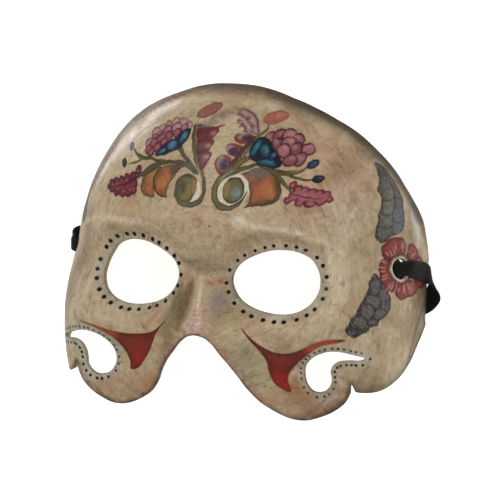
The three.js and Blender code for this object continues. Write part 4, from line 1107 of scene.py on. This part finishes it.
def paint(points, outer, loops, dots):
    """All the paint of the outer face, in the order a painter would lay it."""
    c = Canvas(points)
    # Stains of the ground with painted highlights and painted shade, then brown paint and painted shade along
    # the rim.
    ground_stains_and_painted_light(c)
    rim_paint_and_shade(c, outer)
    for side in ("right", "left"):
        border(c, loops[side + " eye"], 2.2, EDGE_GREY, 0.55)
        border(c, loops[side + " comma"], 2.4, (178, 176, 162), 0.4 if side == "right" else 0.7)
    for k, dot in enumerate(dots):
        where = c.near(dot[:2], 4 * dot[2])
        c.lay(where, dot_gap(c.points[where], dot), INK, 1.0 if dot[2] > 0.8 else 0.92 + 0.08 * math.sin(k))
    cheeks(c)
    c.points = wobble(points)
    left_spray(c)
    middle_leaves(c)
    right_spray(c)
    for side in (1, -1):
        temple(c, side)
    return c


# Shell


def lattice(step):
    """Points of equal triangles over the whole chart, with their row and column."""
    rows = int(CHART_SIZE[1] / (step * ROW_RISE))
    columns = int(CHART_SIZE[0] / step)
    j, i = np.divmod(np.arange(rows * columns), columns)
    s = CHART_CORNER[0] + (i + 0.5 * (j % 2)) * step
    t = CHART_CORNER[1] + j * step * ROW_RISE
    return np.stack([s, t], 1), i, j


def on_paper(points, all_loops):
    """Which points are inside the outer loop, the first one, and outside every hole."""
    keep = inside(all_loops[0], points)
    for loop in all_loops[1:]:
        keep &= ~inside(loop, points)
    return keep


def edge_gap(points, all_loops):
    """Distance from points to the nearest edge."""
    return np.min([distance_to(loop, points)[0] for loop in all_loops], 0)


def kept_points(points, all_loops, clear):
    """Points of the chart on the paper and clear of every edge, and their numbers among those given."""
    kept = np.flatnonzero(on_paper(points, all_loops))
    kept = kept[edge_gap(points[kept], all_loops) > clear]
    return points[kept], kept


def rings(all_loops, offset):
    """Points beside every loop, at an offset into the paper, where no other edge is nearer."""
    points = np.vstack([loop + inward(loop) * offset for loop in all_loops])
    return points[edge_gap(points, all_loops) > 0.9 * offset]


def triangles_of(points, all_loops):
    """Triangles between points of the chart, held to the loops, without the holes, counter-clockwise."""
    edges = []
    start = 0
    for loop in all_loops:
        n = len(loop)
        edges += [(start + k, start + (k + 1) % n) for k in range(n)]
        start += n
    found = delaunay_2d_cdt([Vector(p) for p in points.tolist()], edges, [], 1, 1e-6)
    order = np.array([o[0] for o in found[3]])
    faces = order[np.array(found[2])]
    faces = faces[on_paper(points[faces].mean(1), all_loops)]
    a, b, c = (points[faces[:, k]] for k in range(3))
    turn = (b[:, 0] - a[:, 0]) * (c[:, 1] - a[:, 1]) - (b[:, 1] - a[:, 1]) * (c[:, 0] - a[:, 0])
    faces[turn < 0] = faces[turn < 0][:, ::-1]
    return faces


def unevenness(s, t):
    """Slight lumps of a shape laid up by hand: products of slow sines, in millimetres."""
    slow = np.sin(0.19 * s + 0.11 * t + 1.2) * np.sin(0.16 * t - 0.07 * s + 0.4)
    fast = np.sin(0.43 * s - 0.21 * t + 2.0) * np.sin(0.37 * t + 0.18 * s)
    return SLOW_LUMPS * slow + QUICK_LUMPS * fast


def mesh_object(name, vertices, faces):
    """A mesh object at the origin, from vertices in millimetres."""
    mesh = bpy.data.meshes.new(name)
    mesh.vertices.add(len(vertices))
    mesh.vertices.foreach_set("co", (np.asarray(vertices) * MM).astype(np.float32).ravel())
    mesh.loops.add(faces.size)
    mesh.loops.foreach_set("vertex_index", faces.astype(np.int32).ravel())
    mesh.polygons.add(len(faces))
    mesh.polygons.foreach_set("loop_start", (np.arange(len(faces)) * faces.shape[1]).astype(np.int32))
    mesh.update(calc_edges=True)
    mesh.polygons.foreach_set("use_smooth", np.ones(len(faces), bool))
    mesh.validate()
    made = bpy.data.objects.new(name, mesh)
    bpy.context.scene.collection.objects.link(made)
    return made


def colour_attribute(made, name, colours, alpha):
    """Colours kept on the points of a mesh, in linear light, with a share in their alpha."""
    data = made.data.color_attributes.new(name, "FLOAT_COLOR", "POINT")
    full = np.ones((len(colours), 4), np.float32)
    full[:, :3] = colours
    full[:, 3] = alpha
    data.data.foreach_set("color", full.ravel())


def number_attribute(made, name, values):
    """Numbers kept on the points of a mesh."""
    data = made.data.attributes.new(name, "FLOAT", "POINT")
    data.data.foreach_set("value", np.asarray(values, np.float32))


def vector_attribute(made, name, values):
    """Vectors kept on the points of a mesh."""
    data = made.data.attributes.new(name, "FLOAT_VECTOR", "POINT")
    data.data.foreach_set("vector", np.asarray(values, np.float32).ravel())


def front_points(outer, loops, dots):
    """Chart points of the outer face: the loops, rings beside them, rings of the dots, and a lattice that is
    fine beside painted edges and coarse elsewhere."""
    all_loops = [outer, *loops.values()]
    fine, i, j = lattice(FINE_STEP)
    fine, kept = kept_points(fine, all_loops, ROUNDING + 0.2)
    painted = paint(fine, outer, loops, dots)
    coarse = (i[kept] % COARSE_EVERY == 0) & (j[kept] % COARSE_EVERY == 0)
    chosen = fine[((painted.edge < EDGE_REACH) | coarse) & off_dots(fine, dots)]
    beside = [rings(all_loops, offset) for offset in RING_OFFSETS]
    return np.vstack([*all_loops, *beside, dot_rings(dots), chosen])


def wall_faces(all_loops, starts):
    """Triangles round every loop between layers of points that start at the numbers given."""
    walls = []
    first = 0
    for loop in all_loops:
        n = len(loop)
        a = first + np.arange(n)
        b = first + (np.arange(n) + 1) % n
        for up, down in zip(starts[:-1], starts[1:]):
            walls.append(np.stack([a + up, a + down, b + down], 1))
            walls.append(np.stack([a + up, b + down, b + up], 1))
        first += n
    return walls


def mask_shell():
    """The shell: triangles over the chart on the skin and on the inner wall, joined by a rounded edge."""
    outer = outer_loop()
    loops = hole_loops()
    dots = all_dots(loops)
    all_loops = [outer, *loops.values()]
    front = front_points(outer, loops, dots)
    back = np.vstack(all_loops + [kept_points(lattice(INNER_STEP)[0], all_loops, INNER_CLEAR)[0]])
    edge_count = sum(len(loop) for loop in all_loops)
    edge = front[:edge_count]
    past = np.clip(1 - edge_gap(front, all_loops) / ROUNDING, 0, 1)
    layers = [under(front[:, 0], front[:, 1], ROUNDING_DEPTH * (1 - np.sqrt(1 - past**2)))]
    layers += [under(edge[:, 0], edge[:, 1], np.full(edge_count, d)) for d in WALL_LEVELS]
    past = np.r_[np.full(edge_count, ROUNDING_DEPTH), np.zeros(len(back) - edge_count)]
    layers.append(under(back[:, 0], back[:, 1], WALL - past))
    chart = np.vstack([front, edge, edge, back])
    s, t = chart.T
    vertices = np.vstack(layers) + normal_of(dome, s, t, DOME_STEP) * unevenness(s, t)[:, None]
    starts = [0, len(front), len(front) + edge_count, len(front) + 2 * edge_count]
    back_faces = triangles_of(back, all_loops)[:, ::-1] + starts[-1]
    faces = [triangles_of(front, all_loops), *wall_faces(all_loops, starts), back_faces]
    made = mesh_object("mask", vertices, np.vstack(faces))
    canvas = paint(front, outer, loops, dots)
    rest = np.ones(2 * edge_count + len(back))
    colours = np.vstack([canvas.colour, np.tile(pigment(*PAPER), (len(rest), 1))])
    colours[:edge_count] = 0.4 * colours[:edge_count] + 0.6 * pigment(*CUT_EDGE)
    colours[: len(outer)] = 0.5 * colours[: len(outer)] + 0.5 * pigment(*RIM_EDGE)
    colour_attribute(made, "paint", colours, np.r_[canvas.ground, rest])
    number_attribute(made, "hatch", np.r_[canvas.hatch, 0 * rest])
    behind = np.r_[np.zeros(len(front)), np.full(2 * edge_count, 0.5), np.ones(len(back))]
    number_attribute(made, "behind", behind)
    turn = np.abs(np.arctan2(s, t - SWIRL_UP))
    swirl = [np.hypot(s, t - SWIRL_UP), SWIRL_RADIUS * turn, SWIRL_SLOPE * s]
    vector_attribute(made, "chart", np.stack([s, t, 0 * s], 1))
    vector_attribute(made, "swirl", np.stack(swirl, 1))
    return made


# Band


def band_route():
    """Route of the band: place, the way its outer face looks, width and thickness, knot to knot."""
    knotted = [
        # distance off the outer face, shift along it, width, thickness
        (-(WALL + 9.0), 3.4, 5.0, 2.6),
        (-(WALL + 6.5), 3.0, KNOT_WIDTH, KNOT_THICKNESS),
        (-(WALL + 3.9), 2.4, KNOT_WIDTH, KNOT_THICKNESS),
        (-(WALL + 0.6), 0.9, NECK_WIDTH, NECK_THICKNESS),
        (0.4, 0.5, NECK_WIDTH, NECK_THICKNESS),
    ]

    def off_wall(s, t, distance):
        return under(np.array([s]), np.array([t]), np.array([-distance]))[0]

    def in_hole(side):
        look = (-0.36 * side, 0, 0.93)
        return [
            (off_wall(side * (HOLE_ACROSS + shift), HOLE_UP, d), look, w, h)
            for d, shift, w, h in knotted
        ]

    def place(x, y, z, look, width=BAND_WIDTH):
        return (np.array([x, y, z]), look, width, BAND_THICKNESS)

    flat = (0, 0, -1)
    route = in_hole(1)
    route.append((off_wall(HOLE_ACROSS + 2.4, HOLE_UP - 0.3, 2.3), (0.45, 0, 0.8), 7.4, 1.5))
    route.append((off_wall(HOLE_ACROSS + 6.5, HOLE_UP - 1.6, 1.7), (0.98, 0, 0.2), 8.8, 1.2))
    route.append((off_wall(HOLE_ACROSS + 12.5, HOLE_UP - 3.6, 1.2), (1, 0, 0), 9.2, BAND_THICKNESS))
    free = [place(87.7, 0.0, 7.0, (1, 0, -0.1), 10.0), place(89.2, -4.6, 4.2, (0.8, 0, -0.6), 9.6),
            place(88.0, -10.4, 1.7, (0.15, 0, -1))]
    for x, y in ((82.0, -15.2), (73.5, -11.5), (68.0, 1.0), (59.0, 19.0), (38.0, 39.0), (5.0, 49.0),
                 (-30.0, 44.0), (-58.0, 27.0), (-72.0, 12.5), (-80.0, 8.3)):
        free.append(place(x, y, ON_TABLE, flat))
    free += [place(-85.5, 7.5, 1.0, flat), place(-91.6, 6.8, 3.4, (-0.8, 0, -0.55)),
             place(-92.2, 6.2, 9.5, (-1, 0, 0.1), 8.6)]
    route += [(p - [0, MIDDLE_UP, 0], look, w, h) for p, look, w, h in free]
    route.append((off_wall(-HOLE_ACROSS - 6.5, HOLE_UP + 0.2, 2.8), (-0.98, 0, 0.3), 7.4, 1.2))
    route.append((off_wall(-HOLE_ACROSS - 2.4, HOLE_UP, 2.4), (-0.45, 0, 0.8), NECK_WIDTH, 1.5))
    return route + in_hole(-1)[::-1]


def elastic_band():
    """The band: a flat section with lengthwise ribs, carried along its route and turned by its look."""
    route = band_route()
    line = through([r[0] for r in route], False, POINTS_PER_SPAN)
    at = np.arange(len(line)) / POINTS_PER_SPAN
    knots = np.arange(len(route))
    look = np.stack([np.interp(at, knots, [r[1][k] for r in route]) for k in range(3)], 1)
    width = np.interp(at, knots, [r[2] for r in route])
    thickness = np.interp(at, knots, [r[3] for r in route])
    ahead = unit(np.gradient(line, axis=0))
    across = unit(np.cross(look, ahead))
    look = np.cross(ahead, across)
    u = np.linspace(-1, 1, POINTS_PER_RIB * RIBS)
    rib = 0.86 + 0.14 * np.abs(np.cos(u * RIBS * math.pi / 2))
    face = rib * (1 - np.abs(u) ** 10 * 0.75)
    ring_u = np.r_[u[::-1], u]
    ring_v = np.r_[face, -face]
    run = run_along(line)
    swell = 1 + KNOT_SWELL * smooth(2.4, 4.5, thickness)[:, None] * np.sin(run[:, None] * 2.2 + ring_u * 3)
    offset = across[:, None] * (ring_u * width[:, None] / 2)[..., None]
    offset = offset + look[:, None] * (ring_v * swell * thickness[:, None] / 2)[..., None]
    vertices = (line[:, None] + offset).reshape(-1, 3)
    n = len(ring_u)
    k, c = np.divmod(np.arange((len(line) - 1) * n), n)
    a, b = k * n + c, k * n + (c + 1) % n
    faces = np.vstack([np.stack([a, b, b + n], 1), np.stack([a, b + n, a + n], 1)])
    ends = []
    for start, flip in ((0, True), ((len(line) - 1) * n, False)):
        centre = len(vertices)
        vertices = np.vstack([vertices, vertices[start : start + n].mean(0)])
        c = np.arange(n)
        fan = np.stack([np.full(n, centre), start + c, start + (c + 1) % n], 1)
        ends.append(fan[:, ::-1] if flip else fan)
    made = mesh_object("elastic", vertices, np.vstack([faces, *ends]))
    along = np.r_[np.repeat(run, n), 0, run[-1]]
    sideways = np.r_[np.tile(ring_u, len(line)) * np.repeat(width, n) / 2, 0, 0]
    number_attribute(made, "along", along)
    number_attribute(made, "sideways", sideways)
    return made, line


# Materials


class Signal:
    """A socket in a material's nodes. Arithmetic on it adds Math nodes."""

    def __init__(self, tree, socket):
        self.tree = tree
        self.socket = socket

    def math(self, operation, other=None, swapped=False, clamp=False):
        values = [self] if other is None else [self, other]
        if swapped:
            values.reverse()
        settings = {"operation": operation, "use_clamp": clamp}
        return node(self.tree, "Math", settings, dict(enumerate(values)))

    def __add__(self, other):
        return self.math("ADD", other)

    __radd__ = __add__

    def __sub__(self, other):
        return self.math("SUBTRACT", other)

    def __rsub__(self, other):
        return self.math("SUBTRACT", other, True)

    def __mul__(self, other):
        return self.math("MULTIPLY", other)

    __rmul__ = __mul__

    def clamped(self):
        return self.math("ADD", 0.0, clamp=True)

    def sine(self):
        return self.math("SINE")

    def ramp(self, low, high):
        """0 below low, 1 above high."""
        return ((self - low) * (1 / (high - low))).clamped()


def put(tree, socket, value):
    """A value or a link into a socket."""
    if isinstance(value, Signal):
        tree.links.new(value.socket, socket)
    elif hasattr(socket.default_value, "__len__") and len(socket.default_value) == 4:
        socket.default_value = (*[float(v) for v in value][:3], 1.0)
    else:
        socket.default_value = value


def node(tree, kind, settings=None, inputs=None, output=0):
    """Adds a node of a type, with its settings first and then its sockets' values or links."""
    made = tree.nodes.new("ShaderNode" + kind)
    for name, value in (settings or {}).items():
        setattr(made, name, value)
    for name, value in (inputs or {}).items():
        put(tree, made.inputs[name], value)
    return Signal(tree, made.outputs[output])


def noise(tree, place, scale, detail=3.0, roughness=0.55, distortion=0.0):
    """A noise from 0 to 1 at a place, with a scale in features per millimetre."""
    values = {"Vector": place, "Scale": scale, "Detail": detail, "Roughness": roughness,
              "Distortion": distortion}
    return node(tree, "TexNoise", None, values)


def stretched(tree, place, scale, turn=(0, 0, 0)):
    """A place turned and scaled, so that a noise on it runs in streaks."""
    turned = node(tree, "Mapping", None, {"Vector": place, "Rotation": turn})
    return node(tree, "Mapping", None, {"Vector": turned, "Scale": scale})


def mix(tree, a, b, factor, blend="MIX"):
    """One colour into another."""
    made = tree.nodes.new("ShaderNodeMix")
    made.data_type = "RGBA"
    made.blend_type = blend
    for index, value in ((0, factor), (6, a), (7, b)):
        put(tree, made.inputs[index], value)
    return Signal(tree, made.outputs[2])


def attribute(tree, name, output):
    """An attribute of the mesh: output 0 is its colour and 2 its number."""
    return node(tree, "Attribute", {"attribute_name": name}, None, output)


def new_material(name):
    """A material with its Principled shader, and its place in millimetres."""
    material = bpy.data.materials.new(name)
    material.use_nodes = True
    tree = material.node_tree
    shader = tree.nodes["Principled BSDF"]
    place = node(tree, "TexCoord", None, None, 3)
    place = node(tree, "VectorMath", {"operation": "MULTIPLY"}, {0: place, 1: (1000, 1000, 1000)})
    return material, tree, shader, place


def bump(tree, height, distance, strength=1.0, base=None):
    """A Bump node for a height, with its distance in metres."""
    values = {"Height": height, "Distance": distance, "Strength": strength}
    if base is not None:
        values["Normal"] = base
    return node(tree, "Bump", None, values)


def varnished_paint():
    """Aged paint on paper: mottled and streaked by the brush, with fine fibres and wrinkles under a thin
    uneven varnish; bare paper inside."""
    material, tree, shader, place = new_material("varnished_paint")
    painted = attribute(tree, "paint", 0)
    ground = attribute(tree, "paint", 3)
    behind = attribute(tree, "behind", 2)
    hatch = attribute(tree, "hatch", 2)
    chart = attribute(tree, "chart", 1)
    swirl = attribute(tree, "swirl", 1)
    inner = behind.ramp(0.6, 0.9)
    clouds = noise(tree, place, 0.05, 4, 0.6, 0.8)
    patches = noise(tree, place, 0.14, 5, 0.68, 1.6)
    blots = noise(tree, place, 0.33, 4, 0.7, 1.0)
    specks = noise(tree, place, 1.0, 4, 0.7)
    spots = noise(tree, place, 0.45, 2, 0.5)
    streaks = noise(tree, stretched(tree, swirl, (0.62, 0.09, 1)), 1.0, 5, 0.66, 0.9)
    hairs = noise(tree, stretched(tree, swirl, (2.0, 0.24, 1)), 1.0, 3, 0.6, 1.0)
    dabs = noise(tree, stretched(tree, chart, (1.3, 0.6, 1), (0, 0, 0.5)), 1.0, 5, 0.7, 1.2)
    ageing = ground * (1 - inner)
    colour = painted
    for tone, cover in (
        ((0.60, 0.38, 0.30), clouds.ramp(0.48, 0.70) * ageing * 0.50),
        ((0.36, 0.35, 0.22), patches.ramp(0.53, 0.70) * ageing * 0.52),
        ((1.36, 1.45, 1.62), patches.ramp(0.46, 0.30) * ageing * 0.45),
        ((1.36, 1.48, 1.68), streaks.ramp(0.54, 0.72) * ageing * 0.60),
        ((0.27, 0.21, 0.15), streaks.ramp(0.46, 0.28) * ageing * 0.54),
        ((0.31, 0.22, 0.17), blots.ramp(0.56, 0.72) * ageing * 0.44),
        ((1.38, 1.50, 1.66), blots.ramp(0.42, 0.28) * ageing * 0.40),
        ((0.23, 0.17, 0.13), hairs.ramp(0.56, 0.74) * (0.04 + ageing * 0.22)),
        ((0.20, 0.16, 0.12), specks.ramp(0.60, 0.80) * (0.10 + ageing * 0.25)),
        ((0.12, 0.08, 0.06), spots.ramp(0.70, 0.76) * ageing * 0.60),
        ((1.90, 1.70, 1.50), dabs.ramp(0.52, 0.74) * (1 - ground) * 0.50),
        ((0.34, 0.30, 0.26), dabs.ramp(0.50, 0.30) * (1 - ground) * 0.70),
    ):
        colour = mix(tree, colour, tone, cover, "MULTIPLY")
    lines = noise(tree, stretched(tree, chart, (2.6, 0.5, 1), (0, 0, -0.35)), 1.0, 3, 0.6, 0.4)
    colour = mix(tree, colour, pigment(178, 170, 160), lines.ramp(0.52, 0.74) * hatch * 0.55)
    colour = mix(tree, colour, pigment(52, 48, 48), lines.ramp(0.46, 0.28) * hatch * 0.60)
    bare = mix(tree, pigment(168, 148, 116), pigment(132, 110, 80), patches.ramp(0.35, 0.7))
    colour = mix(tree, colour, bare, inner)
    put(tree, shader.inputs["Base Color"], colour)
    gloss = 0.40 + streaks * 0.22 + specks * 0.10 + inner * 0.35
    put(tree, shader.inputs["Roughness"], gloss.clamped())
    shader.inputs["Specular IOR Level"].default_value = 0.16
    shader.inputs["Coat Roughness"].default_value = 0.24
    coat = (1 - behind.ramp(0.3, 0.6)) * (0.01 + streaks.ramp(0.35, 0.7) * 0.14)
    put(tree, shader.inputs["Coat Weight"], coat)
    wrinkles = noise(tree, stretched(tree, swirl, (0.5, 0.12, 1)), 1.0, 5, 0.6, 1.2)
    lumps = noise(tree, place, 0.09, 3)
    fine = bump(tree, specks * 0.6 + hairs * 0.5 + streaks * 0.6, 0.00022, 0.9)
    surface = bump(tree, wrinkles * 0.9 + lumps * 1.6, 0.0006, 0.8, fine)
    put(tree, shader.inputs["Normal"], surface)
    return material


def ribbed_elastic():
    """Black woven elastic: fine rows of knitting between its ribs."""
    material, tree, shader, place = new_material("ribbed_elastic")
    along = attribute(tree, "along", 2)
    sideways = attribute(tree, "sideways", 2)
    rows = (along * 7.5 + sideways * 2.0).sine() * 0.5 + 0.5
    wales = (sideways * 6.28).sine() * 0.5 + 0.5
    fuzz = noise(tree, place, 3.0, 3)
    colour = mix(tree, pigment(3, 3, 4), pigment(44, 42, 40), rows * 0.15 + wales * 0.65 + fuzz * 0.20)
    put(tree, shader.inputs["Base Color"], colour)
    put(tree, shader.inputs["Roughness"], 0.72 + fuzz * 0.2)
    shader.inputs["Specular IOR Level"].default_value = 0.15
    put(tree, shader.inputs["Normal"], bump(tree, rows * 0.4 + wales * 0.8 + fuzz * 0.4, 0.00025))
    return material


def pale_floor():
    """Plain pale sheet, faintly lit from within, so that it stays pale under the mask."""
    material, tree, shader, _ = new_material("pale_floor")
    put(tree, shader.inputs["Base Color"], pigment(246, 246, 246))
    put(tree, shader.inputs["Emission Color"], pigment(255, 255, 255))
    shader.inputs["Emission Strength"].default_value = FLOOR_GLOW
    shader.inputs["Roughness"].default_value = 0.9
    return material


# Stage

CAMERA_YAW = 24.79
CAMERA_RISE = 9.27
CAMERA_ROLL = 0.08
CAMERA_DISTANCE = 1.5
FOCAL_PIXELS = 3300
IMAGE_PIXELS = 500
SENSOR_WIDTH = 36
AIM = Vector((0, -MIDDLE_UP * MM, 0.052))
AIM_PIXEL = (211.87, 276.41)
FLOOR_HALF = 3.0
FLOOR_GLOW = 0.75
SKY_STRENGTH = 0.08
LIGHTS = (
    # name, place, size, watts
    ("key", (-0.65, 0.75, 1.1), 0.5, 10),
    ("fill", (0.8, 0.1, 1.1), 0.7, 6),
    ("low", (-0.2, -0.9, 0.9), 0.7, 3),
)


def view_axes():
    """Right, up and back of the camera, from its turn about the mask's height and its rise."""
    yaw, rise, roll = (math.radians(v) for v in (CAMERA_YAW, CAMERA_RISE, CAMERA_ROLL))
    back = Vector((math.sin(yaw) * math.cos(rise), math.sin(rise), math.cos(yaw) * math.cos(rise)))
    right = Vector((0, 1, 0)).cross(back).normalized()
    up = back.cross(right)
    return right * math.cos(roll) + up * math.sin(roll), up * math.cos(roll) - right * math.sin(roll), back


def add_camera():
    """The camera above the lying mask, at the photograph's angle, framed by its shift."""
    right, up, back = view_axes()
    data = bpy.data.cameras.new("camera")
    data.sensor_width = SENSOR_WIDTH
    data.lens = FOCAL_PIXELS * SENSOR_WIDTH / IMAGE_PIXELS
    data.shift_x = (IMAGE_PIXELS / 2 - AIM_PIXEL[0]) / IMAGE_PIXELS
    data.shift_y = (AIM_PIXEL[1] - IMAGE_PIXELS / 2) / IMAGE_PIXELS
    camera = bpy.data.objects.new("camera", data)
    camera.matrix_world = Matrix.Translation(AIM + back * CAMERA_DISTANCE) @ Matrix(
        (right, up, back)
    ).transposed().to_4x4()
    bpy.context.scene.collection.objects.link(camera)
    bpy.context.scene.camera = camera


def add_light(name, place, size, watts):
    """A soft square light that looks at the mask."""
    data = bpy.data.lights.new(name, "AREA")
    data.size = size
    data.energy = watts
    lamp = bpy.data.objects.new(name, data)
    lamp.location = place
    lamp.rotation_euler = (AIM - Vector(place)).to_track_quat("-Z", "Y").to_euler()
    bpy.context.scene.collection.objects.link(lamp)


def add_stage():
    """Floor, soft lights and a pale sky."""
    mesh = bpy.data.meshes.new("floor")
    half = FLOOR_HALF
    corners = [(-half, -half, 0), (half, -half, 0), (half, half, 0), (-half, half, 0)]
    mesh.from_pydata(corners, [], [(0, 1, 2, 3)])
    floor = bpy.data.objects.new("floor", mesh)
    floor.data.materials.append(pale_floor())
    bpy.context.scene.collection.objects.link(floor)
    for light in LIGHTS:
        add_light(*light)
    world = bpy.data.worlds.new("sky")
    world.use_nodes = True
    world.node_tree.nodes["Background"].inputs["Color"].default_value = (1, 1, 1, 1)
    world.node_tree.nodes["Background"].inputs["Strength"].default_value = SKY_STRENGTH
    bpy.context.scene.world = world
    bpy.context.scene.view_settings.view_transform = "Standard"


add_camera()
elastic, centreline = elastic_band()
elastic.data.materials.append(ribbed_elastic())
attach(elastic, "root")
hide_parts("elastic_band")
(centreline[0] * MM).tolist()
(centreline * MM).tolist()

mask = mask_shell()
mask.data.materials.append(varnished_paint())
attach(mask, "root")
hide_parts("mask_shell")

add_stage()
